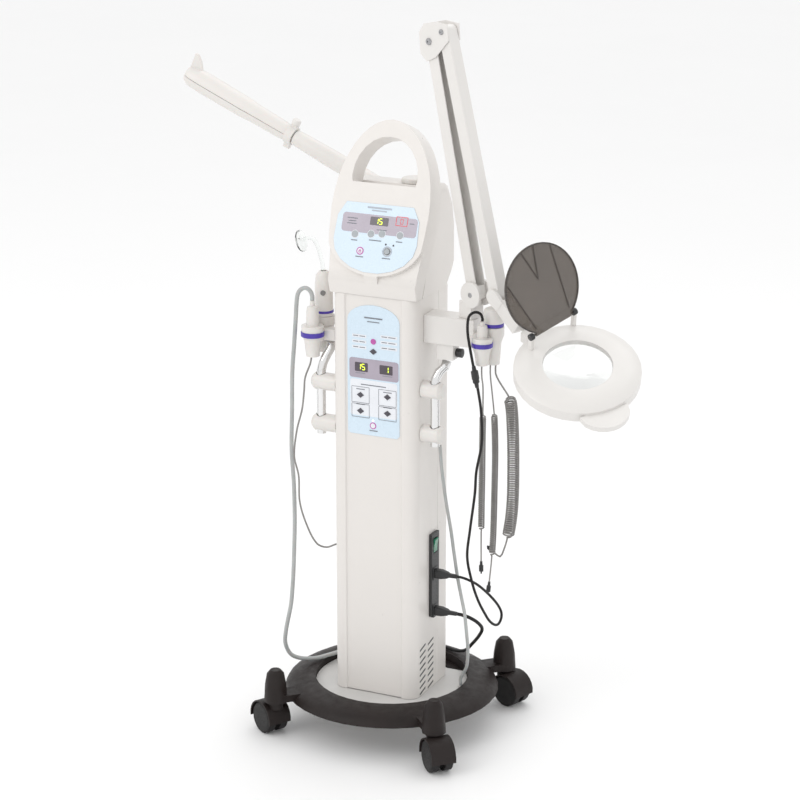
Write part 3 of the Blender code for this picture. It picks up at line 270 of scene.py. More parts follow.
FROST = surface("frosted_tube", (0.92, 0.92, 0.90), 0.45, blotch=0.03, blotch_scale=60, grain=0.1)
SMOKE = surface(
    "smoked_acrylic", (0.105, 0.082, 0.064), 0.12, blotch=0.12, blotch_scale=18, coat=0.3,
    Alpha=0.76,
)
SMOKE_EDGE = surface(
    "smoked_edge", (0.050, 0.040, 0.034), 0.16, blotch=0.15, blotch_scale=60, coat=0.4,
    Alpha=0.90,
)


def glowing(name, colour, strength):
    """A finish that lights up by itself."""
    made = surface(name, colour, 0.3, blotch=0.05, blotch_scale=200)
    shader = made.node_tree.nodes["Principled BSDF"]
    shader.inputs["Emission Color"].default_value = (*colour, 1)
    shader.inputs["Emission Strength"].default_value = strength
    return made


DIGIT_YELLOW = glowing("yellow_digits", (0.80, 1.0, 0.05), 1.3)
DIGIT_RED = glowing("red_digits", (0.55, 0.03, 0.04), 0.5)
POWER_LIGHT = glowing("white_light", (0.95, 0.92, 1.0), 1.4)

# ---------------------------------------------------------------- shapes


def at(point):
    """A place moved to a point."""
    return Matrix.Translation(Vector(point))


def axes(origin, x_axis, z_axis):
    """The place of a piece whose own X and Z follow the two axes given."""
    z = Vector(z_axis).normalized()
    x = (Vector(x_axis) - Vector(x_axis).dot(z) * z).normalized()
    turn = Matrix((x, z.cross(x), z)).transposed()
    return at(origin) @ turn.to_4x4()


def turn_z(degrees):
    """A turn about Z."""
    return Matrix.Rotation(math.radians(degrees), 4, "Z")


def finish_piece(name, mesh, mat, place, body, edge=0.0, smooth=40.0):
    """Makes a mesh a piece that rides on a body, with its edges softened."""
    bmesh.ops.remove_doubles(mesh, verts=mesh.verts, dist=1e-6)
    bmesh.ops.dissolve_degenerate(mesh, dist=1e-7, edges=mesh.edges)
    bmesh.ops.recalc_face_normals(mesh, faces=mesh.faces)
    data = bpy.data.meshes.new(name)
    mesh.to_mesh(data)
    mesh.free()
    data.materials.append(mat)
    data.shade_smooth()
    data.set_sharp_from_angle(angle=math.radians(smooth))
    obj = bpy.data.objects.new(name, data)
    bpy.context.scene.collection.objects.link(obj)
    obj.matrix_world = at(COLUMN_AXIS) @ place
    if edge:
        soften(obj, edge)
    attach(obj, body)
    return obj


def soften(obj, width, segments=2, angle=32.0):
    """Rounds the edges that are sharper than the angle."""
    bevel = obj.modifiers.new("edges", "BEVEL")
    bevel.width = width
    bevel.segments = segments
    bevel.limit_method = "ANGLE"
    bevel.angle_limit = math.radians(angle)
    bevel.harden_normals = True
    return obj


def skin(name, rings, mat, place, body, closed=False, edge=0.0, smooth=40.0):
    """A closed skin over rings of equally many points; closed joins the last ring to the first."""
    mesh = bmesh.new()
    loops = [[mesh.verts.new(point) for point in ring] for ring in rings]
    pairs = list(zip(loops, loops[1:]))
    if closed:
        pairs.append((loops[-1], loops[0]))
    count = len(rings[0])
    for first, second in pairs:
        for i in range(count):
            j = (i + 1) % count
            mesh.faces.new((first[i], first[j], second[j], second[i]))
    if not closed:
        mesh.faces.new(list(reversed(loops[0])))
        mesh.faces.new(loops[-1])
    return finish_piece(name, mesh, mat, place, body, edge, smooth)


def turned(name, profile, mat, place, body, steps=48, edge=0.0, smooth=40.0):
    """A profile of (radius, height) turned about Z; it starts and ends on the axis."""
    rings = []
    for radius, height in profile:
        angles = [2 * math.pi * i / steps for i in range(steps)]
        rings.append([(radius * math.cos(a), radius * math.sin(a), height) for a in angles])
    return skin(name, rings, mat, place, body, edge=edge, smooth=smooth)


def ring_of(name, profile, mat, place, body, slot, steps=64, sweep=360.0, edge=0.0):
    """A closed (radius, height) outline turned about Z."""
    rings = []
    count = steps if sweep == 360.0 else steps + 1
    for i in range(count):
        a = math.radians(sweep) * i / steps
        rings.append([(r * math.cos(a), r * math.sin(a), z) for r, z in profile])
    return skin(name, rings, mat, place, body, closed=sweep == 360.0, edge=edge)


def arc(centre, radius, start, end, steps):
    """Points on an arc, its angles in degrees."""
    points = []
    for i in range(steps + 1):
        a = math.radians(start + (end - start) * i / steps)
        points.append((centre[0] + radius * math.cos(a), centre[1] + radius * math.sin(a)))
    return points


def rounded(half_x, half_y, radius, steps=6, centre=(0.0, 0.0)):
    """A rectangle with round corners."""
    points = []
    for i, (sx, sy) in enumerate(((1, 1), (-1, 1), (-1, -1), (1, -1))):
        corner = (centre[0] + sx * (half_x - radius), centre[1] + sy * (half_y - radius))
        points += arc(corner, radius, 90 * i, 90 * i + 90, steps)
    return points


# ---------------------------------------------------------------- camera, stage and light


def make_camera():
    """Looks down at the front and right side; the column's axis stands a little left of the middle."""
    distance, height = 4.5, 2.0285
    azimuth, aside, pitch = math.radians(25.56), math.radians(0.2), math.radians(17.24)
    data = bpy.data.cameras.new("camera")
    data.lens = 115.5
    data.sensor_width = 36.0
    camera = bpy.data.objects.new("camera", data)
    place = Vector((distance * math.sin(azimuth), -distance * math.cos(azimuth), height)) + COLUMN_AXIS
    heading, level = azimuth - aside, math.cos(pitch)
    look = Vector((-math.sin(heading) * level, math.cos(heading) * level, -math.sin(pitch)))
    camera.rotation_mode = "QUATERNION"
    camera.rotation_quaternion = look.to_track_quat("-Z", "Y")
    camera.location = place
    bpy.context.scene.collection.objects.link(camera)
    bpy.context.scene.camera = camera


def area_light(name, place, target, size, power, colour):
    """A rectangular light that faces its target."""
    data = bpy.data.lights.new(name, "AREA")
    data.shape = "RECTANGLE"
    data.size, data.size_y = size
    data.energy = power
    data.color = colour
    lamp = bpy.data.objects.new(name, data)
    lamp.location = place
    lamp.rotation_mode = "QUATERNION"
    lamp.rotation_quaternion = (Vector(target) - Vector(place)).to_track_quat("-Z", "Y")
    bpy.context.scene.collection.objects.link(lamp)


def make_studio():
    """A pale floor, a white surround and three soft lights."""
    half = 40.0
    mesh = bpy.data.meshes.new("floor")
    corners = [(-half, -half, 0), (half, -half, 0), (half, half, 0), (-half, half, 0)]
    mesh.from_pydata(corners, [], [(0, 1, 2, 3)])
    mesh.materials.append(surface("studio_floor", (0.93, 0.93, 0.93), 0.6, blotch=0.006, blotch_scale=0.8))
    floor = bpy.data.objects.new("floor", mesh)
    bpy.context.scene.collection.objects.link(floor)

    world = bpy.data.worlds.new("studio")
    bpy.context.scene.world = world
    world.use_nodes = True
    background = world.node_tree.nodes["Background"]
    background.inputs["Color"].default_value = (1.0, 1.0, 1.0, 1)
    background.inputs["Strength"].default_value = 1.0
    area_light("key_light", (-2.2, -3.2, 3.4), (0, 0, 0.7), (2.4, 2.4), 36, (1.0, 0.985, 0.97))
    area_light("fill_light", (3.4, -1.8, 2.0), (0, 0, 0.7), (2.0, 2.6), 4, (0.97, 0.98, 1.0))
    area_light("top_light", (0.2, 1.6, 3.6), (0, 0, 0.6), (2.6, 1.6), 16, (1, 1, 1))
    bpy.context.scene.view_settings.view_transform = "Standard"


make_camera()
make_studio()

# ---------------------------------------------------------------- cords and hoses


def bezier_cord(name, route, diameter, mat, body, resolution=8, sides=4):
    """A round cord on one smooth curve through its points."""
    path = [Vector(p) + COLUMN_AXIS for p in route]
    padded = [2 * path[0] - path[1]] + path + [2 * path[-1] - path[-2]]
    curve = bpy.data.curves.new(name, "CURVE")
    curve.dimensions = "3D"
    curve.bevel_depth = diameter / 2
    curve.bevel_resolution = sides
    curve.resolution_u = resolution
    curve.use_fill_caps = True
    line = curve.splines.new("BEZIER")
    line.bezier_points.add(len(path) - 1)
    for i, knot in enumerate(line.bezier_points):
        tangent = (padded[i + 2] - padded[i]).normalized() / 3
        knot.co = path[i]
        knot.handle_left_type = knot.handle_right_type = "FREE"
        knot.handle_left = path[i] - tangent * (path[i] - padded[i]).length
        knot.handle_right = path[i] + tangent * (padded[i + 2] - path[i]).length
    curve.materials.append(mat)
    cord = bpy.data.objects.new(name, curve)
    bpy.context.scene.collection.objects.link(cord)
    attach(cord, body)
    return cord


def smooth_points(route, spacing):
    """Even points on the same smooth curve, for a helix to wind around."""
    path = [Vector(p) for p in route]
    path = [2 * path[0] - path[1]] + path + [2 * path[-1] - path[-2]]
    fine = []
    for p0, p1, p2, p3 in zip(path, path[1:], path[2:], path[3:]):
        for i in range(40):
            t = i / 40
            bend = (2 * p0 - 5 * p1 + 4 * p2 - p3) * t * t + (3 * p1 - p0 - 3 * p2 + p3) * t**3
            fine.append(0.5 * (2 * p1 + (p2 - p0) * t + bend))
    fine.append(path[-2])
    even, travelled = [fine[0]], 0.0
    for a, b in zip(fine, fine[1:]):
        step = (b - a).length
        while travelled + step >= spacing:
            a = a.lerp(b, (spacing - travelled) / step)
            step = (b - a).length
            travelled = 0.0
            even.append(a.copy())
        travelled += step
    return even


LAMP_LEAD = [
    (0.2121, -0.0730, 0.8260),
    (0.2119, -0.0732, 0.8315),
    (0.2091, -0.0755, 0.8390),
    (0.2021, -0.0805, 0.8425),
    (0.1946, -0.0855, 0.8385),
    (0.1911, -0.0880, 0.8295),
    (0.1913, -0.0895, 0.8056),
    (0.1990, -0.0945, 0.7756),
    (0.2050, -0.0915, 0.7400),
    (0.2095, -0.0830, 0.7000),
    (0.2100, -0.0700, 0.6570),
    (0.2060, -0.0570, 0.5950),
    (0.1930, -0.0500, 0.5360),
    (0.1880, -0.0440, 0.4930),
    (0.1760, -0.0380, 0.4160),
    (0.1660, -0.0260, 0.3600),
    (0.1690, -0.0100, 0.3060),
    (0.1720, 0.0100, 0.2650),
    (0.1765, 0.0300, 0.2330),
    (0.1805, 0.0520, 0.2060),
    (0.1835, 0.0790, 0.1915),
    (0.1840, 0.0960, 0.2020),
    (0.1825, 0.0890, 0.2220),
    (0.1770, 0.0560, 0.2570),
    (0.1660, 0.0220, 0.2890),
    (0.1540, 0.0010, 0.3050),
    (0.1440, -0.0038, 0.3090),
    (0.1373, -0.0040, 0.3090),
]
MAINS_LEAD = [
    (0.1379, -0.0040, 0.2350),
    (0.1471, -0.0035, 0.2345),
    (0.1608, 0.0020, 0.2290),
    (0.1715, 0.0140, 0.2165),
    (0.1706, 0.0350, 0.1973),
    (0.1530, 0.0620, 0.1700),
    (0.1256, 0.0920, 0.1370),
    (0.0980, 0.1210, 0.1080),
    (0.0700, 0.1390, 0.0960),
    (0.0350, 0.1510, 0.0945),
    (0.0000, 0.1550, 0.0943),
    (-0.0300, 0.1580, 0.0943),
    (-0.0500, 0.1680, 0.0920),
    (-0.0600, 0.1800, 0.0870),
    (-0.0655, 0.1935, 0.0795),
    (-0.0695, 0.2030, 0.0690),
    (-0.0722, 0.2095, 0.0550),
    (-0.0745, 0.2145, 0.0400),
    (-0.0765, 0.2205, 0.0255),
    (-0.0785, 0.2300, 0.0130),
    (-0.0797, 0.2420, 0.0060),
    (-0.0800, 0.2545, 0.0040),
]
LEFT_HOSE = [
    (-0.1370, -0.0470, 0.8172),
    (-0.1372, -0.0470, 0.8250),
    (-0.1405, -0.0474, 0.8335),
    (-0.1480, -0.0482, 0.8390),
    (-0.1570, -0.0492, 0.8370),
    (-0.1640, -0.0500, 0.8290),
    (-0.1670, -0.0506, 0.8150),
    (-0.1690, -0.0512, 0.7850),
    (-0.1730, -0.0520, 0.7290),
    (-0.1780, -0.0510, 0.6750),
    (-0.1800, -0.0500, 0.6030),
    (-0.1820, -0.0500, 0.5270),
    (-0.1780, -0.0500, 0.4530),
    (-0.1780, -0.0500, 0.3610),
    (-0.1830, -0.0560, 0.2290),
    (-0.1930, -0.0620, 0.1650),
    (-0.1950, -0.0600, 0.1360),
    (-0.1850, -0.0500, 0.1110),
    (-0.1600, -0.0200, 0.0980),
    (-0.1380, 0.0200, 0.0960),
    (-0.1150, 0.0600, 0.0990),
    (-0.0780, 0.0920, 0.1110),
    (-0.0450, 0.1040, 0.1240),
    (-0.0310, 0.0950, 0.1310),
    (-0.0300, 0.0785, 0.1330),
]
LEFT_LEAD = [
    (-0.1390, -0.0480, 0.7110),
    (-0.1400, -0.0520, 0.6980),
    (-0.1430, -0.0670, 0.6750),
    (-0.1440, -0.0700, 0.6500),
    (-0.1480, -0.0710, 0.6150),
    (-0.1600, -0.0700, 0.5720),
    (-0.1660, -0.0700, 0.5210),
    (-0.1600, -0.0650, 0.4820),
    (-0.1610, -0.0600, 0.4290),
    (-0.1520, -0.0500, 0.3810),
    (-0.1370, -0.0400, 0.3440),
    (-0.1230, -0.0280, 0.3340),
    (-0.1060, -0.0200, 0.3400),
    (-0.0903, -0.0200, 0.3450),
]
AIR_HOSE = [
    (0.1120, -0.0300, 0.5690),
    (0.1125, -0.0250, 0.5300),
    (0.1130, -0.0150, 0.4900),
    (0.1139, -0.0040, 0.4470),
    (0.1185, 0.0060, 0.3950),
    (0.1239, 0.0100, 0.3458),
    (0.1316, 0.0110, 0.2959),
    (0.1449, -0.0010, 0.2636),
    (0.1549, -0.0110, 0.2418),
    (0.1591, -0.0100, 0.2006),
    (0.1574, 0.0000, 0.1658),
    (0.1500, 0.0120, 0.1267),
    (0.1390, 0.0190, 0.1050),
    (0.1345, 0.0200, 0.0960),
    (0.1345, 0.0200, PLATE_TOP + 0.0046),
]
CURLY_RIGHT = [
    (0.2244, -0.0398, 0.7405),
    (0.2246, -0.0392, 0.7200),
    (0.2300, -0.0200, 0.6920),
    (0.2370, 0.0000, 0.6600),
    (0.2390, 0.0080, 0.6000),
    (0.2400, 0.0100, 0.5200),
    (0.2390, 0.0100, 0.4600),
    (0.2340, 0.0100, 0.4150),
    (0.2240, 0.0120, 0.3750),
    (0.2110, 0.0180, 0.3520),
    (0.1980, 0.0260, 0.3560),
]
CURLY_MIDDLE = [
    (0.2174, -0.0478, 0.7405),
    (0.2172, -0.0470, 0.7200),
    (0.2130, -0.0280, 0.6800),
    (0.2090, -0.0080, 0.6300),
    (0.2080, 0.0000, 0.5600),
    (0.2070, 0.0010, 0.4800),
    (0.2060, 0.0000, 0.4000),
    (0.2040, -0.0020, 0.3500),
    (0.2010, -0.0040, 0.3100),
]

CURLY_LEFT = [
    (0.2085, -0.0660, 0.7405),
    (0.2080, -0.0640, 0.7200),
    (0.2000, -0.0400, 0.6950),
    (0.1900, -0.0160, 0.6500),
    (0.1870, -0.0100, 0.5900),
    (0.1865, -0.0090, 0.5200),
    (0.1860, -0.0090, 0.4500),
    (0.1865, -0.0100, 0.3900),
    (0.1870, -0.0100, 0.3500),
]


def wound_lead():
    """The mains lead's spare length: one flat layer of turns inwards, and one on top back outwards."""
    outer = COIL_RADIUS + LEAD_DIAMETER
    inner_turn, turns, per_turn = 2.0, 4.25, 24
    low, high = 0.5 * LEAD_DIAMETER + 0.0004, 1.5 * LEAD_DIAMETER
    points = []
    for i in range(1, int(turns * per_turn) + 1):
        t = i / per_turn
        inward = min(t, inner_turn, max(2 * inner_turn + 0.25 - t, 0.0))
        radius = outer - LEAD_DIAMETER * inward
        rise = min(max((t - 1.90) / 0.45, 0.0), 1.0)
        height = low + (high - low) * rise * rise * (3 - 2 * rise)
        angle = 2 * math.pi * t
        points.append(COIL_CENTRE + Vector((radius * math.cos(angle), radius * math.sin(angle), height)))
    return points


def helix_route(route, radius, pitch, start, end, per_turn=12):
    """A curly cord: straight, wound about its route between two shares of its length, then straight."""
    spacing = pitch / per_turn
    middle = smooth_points(route, spacing)
    first, last = int(start * len(middle)), int(end * len(middle))
    side = Vector((1, 0, 0))
    angle = 0.0
    points = list(middle[0:first - 2 * per_turn:4 * per_turn])
    for i in range(first, last):
        along = (middle[min(i + 1, len(middle) - 1)] - middle[i - 1]).normalized()
        side = (side - side.dot(along) * along).normalized()
        across = along.cross(side)
        lead_in = min((i - first) / (2.5 * per_turn), (last - i) / (2.5 * per_turn), 1.0)
        angle += 2 * math.pi * lead_in / per_turn
        reach = radius * lead_in * lead_in * (3 - 2 * lead_in)
        points.append(middle[i] + reach * (math.cos(angle) * side + math.sin(angle) * across))
    points += middle[last + 2 * per_turn:-2 * per_turn:4 * per_turn]
    points.append(middle[-1])
    return points


def small_plug(name, tip, along, mat, body, radius=0.0042, length=0.024):
    """A lead's small connector: a ribbed grip, then a thin tip, all in the one finish given."""
    shape = [(0, 0), (0.55 * radius, 0), (0.62 * radius, 0.30 * length)]
    for i in range(4):
        z = (0.34 + 0.10 * i) * length
        shape += [(radius, z), (radius, z + 0.05 * length)]
        shape += [(0.86 * radius, z + 0.06 * length), (0.86 * radius, z + 0.09 * length)]
    shape += [(radius, 0.76 * length), (radius, 0.80 * length), (0.34 * radius, 0.81 * length)]
    shape += [(0.34 * radius, length), (0, 1.03 * length)]
    return turned(name, shape, mat, axes(tip, (0.3, 0.9, 0.1), along), body, steps=20)


def make_cords():
    """The leads and hoses that hang without a coil, and the mains lead with its coil."""
    lamp = bezier_cord("lamp_cable", LAMP_LEAD, 0.0050, RUBBER, "tower")
    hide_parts("lamp_lead")
    joint = axes((0.2043, -0.0925, 0.7480), (1, 0, 0), Vector((0.0052, 0.0030, -0.0356)))
    shape = [(0.0027, 0), (0.0034, 0.001), (0.0040, 0.008), (0.0066, 0.010), (0.0068, 0.024)]
    shape += [(0.0060, 0.0255), (0.0060, 0.031), (0.0040, 0.033), (0.0034, 0.040)]
    shape += [(0.0027, 0.041), (0.0026, 0.041), (0.0026, 0)]
    connector = ring_of("lamp_cable_connector", shape, BLACK, joint, "tower", "black_plastic", steps=24)

    steps_to_plug = ((-0.0130, 0.0428, 0.0090), (-0.0242, 0.0428, 0.0080))
    route = MAINS_LEAD + wound_lead() + [COIL_CENTRE + Vector(step) for step in steps_to_plug]
    lead = bezier_cord("mains_cable", route, LEAD_DIAMETER, RUBBER, "tower")
    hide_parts("mains_lead", "mains_coil")
    around = axes(COIL_CENTRE + Vector((0.0, -COIL_RADIUS, 0.0069)), (0, 1, 0), (1, 0, 0))
    tie_rings = []
    for along in (-0.0035, 0.0035):
        outside = rounded(0.0112, 0.0066, 0.0030, 5)
        inside = rounded(0.0102, 0.0060, 0.0028, 5)
        tie_rings.append([(x, y, along) for x, y in outside])
        tie_rings.append([(x, y, along) for x, y in inside])
    order = [tie_rings[0], tie_rings[2], tie_rings[3], tie_rings[1]]
    tie = skin("mains_cable_tie", order, BLACK, around, "tower", closed=True)

    hose = bezier_cord("left_air_hose", LEFT_HOSE, 0.0080, HOSE, "tower")
    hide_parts("left_hose")
    thin = bezier_cord("left_tool_lead", LEFT_LEAD, 0.0034, LEAD_GREY, "tower")
    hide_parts("left_lead")
    shape = [(0, 0), (0.0024, 0), (0.0030, 0.004), (0.0048, 0.006), (0.0050, 0.016)]
    shape += [(0.0062, 0.0165), (0.0062, 0.0190), (0, 0.0190)]
    socket = axes((-0.1040, -0.0200, 0.3407), (0, 1, 0), (1.0, 0, 0.30))
    jack = turned("left_tool_jack", shape, BLACK, socket, "tower", steps=24)
    air = bezier_cord("right_air_hose", AIR_HOSE, 0.0062, HOSE, "tower")
    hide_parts("air_hose")


def make_curly_cords():
    """The three spiral leads on the right, each with its small connector."""
    for name, node_name, route, wire, radius, pitch, start, end, length in (
        ("curly_lead_right", "curly_cord_right", CURLY_RIGHT, 0.0032, 0.0099, 0.0044, 0.19, 0.85, 4.0),
        ("curly_lead_middle", "curly_cord_middle", CURLY_MIDDLE, 0.0028, 0.00485, 0.0038, 0.25, 0.89, 2.4),
        ("curly_lead_left", None, CURLY_LEFT, 0.0028, 0.0050, 0.0040, 0.30, 0.86, 1.95),
    ):
        points = helix_route(route, radius, pitch, start, end)
        lead = bezier_cord(name, points, wire, LEAD_GREY, "tower", resolution=2, sides=2)
        if node_name:
            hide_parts(node_name)
        tip = Vector(route[-1])
        along = tip - Vector(route[-2])
        plug = small_plug(name + "_plug", tip, along, BLACK, "tower")


make_cords()
make_curly_cords()

# ---------------------------------------------------------------- the frame's own nodes


def dress(name, mat, edge=0.0006, smooth=38.0):
    """Gives a CAD node its finish and soft, evenly shaded edges; its mesh stays as packed."""
    obj = frame["nodes"][name]
    for i in range(len(obj.material_slots)):
        obj.material_slots[i].material = mat
    data = obj.data
    if "custom_normal" in data.attributes:
        data.attributes.remove(data.attributes["custom_normal"])
    weld = obj.modifiers.new("weld", "WELD")
    weld.merge_threshold = 0.00001
    flat = obj.modifiers.new("flat_faces", "DECIMATE")
    flat.decimate_type = "DISSOLVE"
    flat.angle_limit = math.radians(0.6)
    if edge:
        soften(obj, edge, angle=smooth)
    data.shade_smooth()
    even = obj.modifiers.new("even_shading", "WEIGHTED_NORMAL")
    even.keep_sharp = True
    even.weight = 60
    return obj


FINISHES = {
    "base_ring": (DARK, 0.0012),
    "base_plate": (STEEL, 0.0006),
    "boiler_tank": (STEEL, 0.0006),
    "bracket_knob": (BLACK, 0.0006),
    "collar_knob": (LAMP_WHITE, 0.0005),
    "column_front_cover": (SHELL, 0.0008),
    "column_rear_cover": (SHELL, 0.0008),
    "column_panel": (FILM, 0.0002),
    "head_panel": (FILM, 0.0003),
    "head_front_shell": (SHELL, 0.0018),
    "head_rear_shell": (SHELL, 0.0018),
    "glass_electrode": (GLASS, 0.0004),
    "hf_handle": (WHITE, 0.0006),
    "lamp_base": (LAMP_WHITE, 0.0006),
    "lamp_bracket": (LAMP_WHITE, 0.0012),
    "lamp_elbow": (LAMP_WHITE, 0.0006),
    "lamp_housing": (LAMP_WHITE, 0.0012),
    "lamp_lower_arm": (LAMP_WHITE, 0.0008),
    "lamp_upper_arm": (LAMP_WHITE, 0.0008),
    "lamp_neck": (LAMP_WHITE, 0.0010),
    "lamp_plug": (BLACK, 0.0006),
    "mains_plug": (BLACK, 0.0006),
    "wall_plug": (BLACK, 0.0006),
    "left_rail": (CHROME, 0.0),
    "right_rail": (CHROME, 0.0),
    "left_rail_clamp_lower": (WHITE, 0.0010),
    "left_rail_clamp_upper": (WHITE, 0.0010),
    "right_rail_clamp_lower": (WHITE, 0.0010),
    "right_rail_clamp_upper": (WHITE, 0.0010),
    "left_tool_holder": (WHITE, 0.0008),
    "right_tool_holder": (WHITE, 0.0008),
    "lens_cover": (SMOKE, 0.0004),
    "magnifier_lens": (LENS, 0.0003),
    "power_inlet": (BLACK, 0.0006),
    "ring_tube": (FROST, 0.0),
    "rocker_switch": (GREEN, 0.0004),
    "select_button": (KEY_GREY, 0.0003),
    "steam_arm_bottom": (WHITE, 0.0006),
    "steam_arm_top": (WHITE, 0.0006),
    "steam_collar": (WHITE, 0.0006),
    "steam_tube": (WHITE, 0.0006),
    "steam_turret": (WHITE, 0.0008),
    "ultrasonic_probe": (WHITE, 0.0008),
    "water_fill_cap": (WHITE, 0.0010),
}
CASTORS = ("front_left", "front_right", "rear_right", "rear_left")
for castor in CASTORS:
    FINISHES["castor_fork_" + castor] = (DARK, 0.0007)
    FINISHES["castor_wheel_" + castor] = (RUBBER, 0.0008)
for cad_name, (finish, edge_width) in FINISHES.items():
    dress(cad_name, finish, edge_width)

# ---------------------------------------------------------------- prints, keys and small parts

FACE = axes(CHIN, (1, 0, 0), (0, -math.cos(FACE_LEAN), math.sin(FACE_LEAN)))
PANEL = axes((0, PANEL_FACE, 0), (1, 0, 0), (0, -1, 0))
SEGMENTS = {"0": "abcdef", "1": "bc", "2": "abged", "3": "abgcd", "5": "afgcd", "8": "abcdefg"}


def flat_pieces(name, outlines, mat, place, body, slot, low=0.0, high=0.0003):
    """Many flat raised shapes as one piece."""
    mesh = bmesh.new()
    for outline in outlines:
        bottom = [mesh.verts.new((x, y, low)) for x, y in outline]
        top = [mesh.verts.new((x, y, high)) for x, y in outline]
        mesh.faces.new(list(reversed(bottom)))
        mesh.faces.new(top)
        for i in range(len(outline)):
            j = (i + 1) % len(outline)
            mesh.faces.new((bottom[i], bottom[j], top[j], top[i]))
    return finish_piece(name, mesh, mat, place, body)


def bar(x, y, half_x, half_y, slant=0.0):
    """A thin rectangle about a point; slant lifts its right end."""
    return [(x - half_x, y - half_y - slant), (x + half_x, y - half_y + slant),
            (x + half_x, y + half_y + slant), (x - half_x, y + half_y - slant)]


def border(x, y, half_x, half_y, line):
    """The four bars of a thin rectangle."""
    return [bar(x, y + half_y, half_x, line), bar(x, y - half_y, half_x, line),
            bar(x - half_x, y, line, half_y - line), bar(x + half_x, y, line, half_y - line)]


def diamond(x, y, half_x, half_y):
    """A diamond about a point."""
    return [(x - half_x, y), (x, y - half_y), (x + half_x, y), (x, y + half_y)]


def digits(text, x, y, height):
    """Seven-segment digits, the first one centred on the point."""
    outlines = []
    half, tall, line = 0.22 * height, 0.5 * height, 0.055 * height
    for i, sign in enumerate(text):
        cx = x + i * 0.80 * height
        spots = {"a": (cx, y + tall, half, line), "g": (cx, y, half, line), "d": (cx, y - tall, half, line)}
        spots["b"] = (cx + half + line, y + tall / 2, line, tall / 2 - line)
        spots["c"] = (cx + half + line, y - tall / 2, line, tall / 2 - line)
        spots["f"] = (cx - half - line, y + tall / 2, line, tall / 2 - line)
        spots["e"] = (cx - half - line, y - tall / 2, line, tall / 2 - line)
        outlines += [bar(*spots[segment]) for segment in SEGMENTS[sign]]
    return outlines


def disc(name, x, y, radius, high, mat, place, low=0.0, steps=28):
    """A round key or ring with a softened top."""
    shape = [(0, low), (radius, low), (radius, low + 0.7 * (high - low)), (0.85 * radius, high), (0, high)]
    return turned(name, shape, mat, place @ at((x, y, 0)), "tower", steps)


def make_head_prints():
    """The console's display, keys and legends, on the leaning face."""
    film = ("tower", "panel_film")
    strip = rounded(0.0735, 0.0170, 0.0060, 6, (0.0040, 0.0935))
    flat_pieces("head_display", [strip], DISPLAY, FACE, *film, low=0.0009, high=0.0014)
    window = rounded(0.0178, 0.0075, 0.0016, 3, (0.0031, 0.0995))
    flat_pieces("head_window", [window], DISPLAY_DARK, FACE, *film, low=0.0012, high=0.0016)
    flat_pieces("head_yellow_digits", digits("15", -0.0020, 0.0995, 0.0100), DIGIT_YELLOW, FACE, *film,
                low=0.0015, high=0.0018)
    red = border(0.0467, 0.1036, 0.0110, 0.0078, 0.0005) + digits("0", 0.0467, 0.1036, 0.0090)
    flat_pieces("head_red_digit", red, DIGIT_RED, FACE, *film, low=0.0013, high=0.0016)
    for i, (x, y) in enumerate(((-0.0410, 0.0730), (-0.0098, 0.0760), (0.0116, 0.0780), (0.0469, 0.0785))):
        disc("head_key_%d" % (i + 1), x, y, 0.0064, 0.0021, KEY_GREY, FACE, 0.0010)
        disc("head_key_ring_%d" % (i + 1), x, y, 0.0076, 0.0015, FILM_WHITE, FACE, 0.0010)
    disc("head_power_ring", -0.0263, 0.0439, 0.0070, 0.0016, MAGENTA, FACE, 0.0009)
    disc("head_power_key", -0.0263, 0.0439, 0.0052, 0.0019, FILM_WHITE, FACE, 0.0011)
    sign = [bar(-0.0263, 0.0452, 0.0005, 0.0020)] + border(-0.0263, 0.0432, 0.0020, 0.0018, 0.0005)
    flat_pieces("head_power_sign", sign, MAGENTA, FACE, *film, low=0.0018, high=0.0021)
    ring = [(0.0072, 0.0009), (0.0094, 0.0009), (0.0094, 0.0015), (0.0072, 0.0015)]
    ring_of("select_ring", ring, PRINT_PALE, FACE @ at((0.0264, 0.0477, 0)), "tower", "panel_film", 32)
    dots = [rounded(0.0017, 0.0017, 0.0016, 3, spot) for spot in ((0.0220, 0.0600), (0.0370, 0.0595))]
    flat_pieces("head_dots", dots, KEY_DARK, FACE, *film, low=0.0009, high=0.0015)
    legends = [bar(x, y, half, 0.0008) for x, y, half in (
        (-0.0500, 0.1010, 0.0100), (-0.0500, 0.0960, 0.0075), (-0.0500, 0.0915, 0.0090),
        (0.0670, 0.1010, 0.0045), (-0.0263, 0.0335, 0.0075), (0.0264, 0.0352, 0.0080),
        (-0.0410, 0.0620, 0.0060), (0.0000, 0.0650, 0.0120),
        (0.0469, 0.0670, 0.0060), (0.0100, 0.0845, 0.0100))]
    flat_pieces("head_legends", legends, PRINT, FACE, *film, low=0.0009, high=0.0016)
    pale = [rounded(0.0240, 0.0016, 0.0012, 3, (0.0, 0.1230))]
    pale.append(rounded(0.0150, 0.0012, 0.0010, 3, (0.0, 0.1180)))
    flat_pieces("head_title_bars", pale, PRINT_PALE, FACE, *film, low=0.0009, high=0.0014)


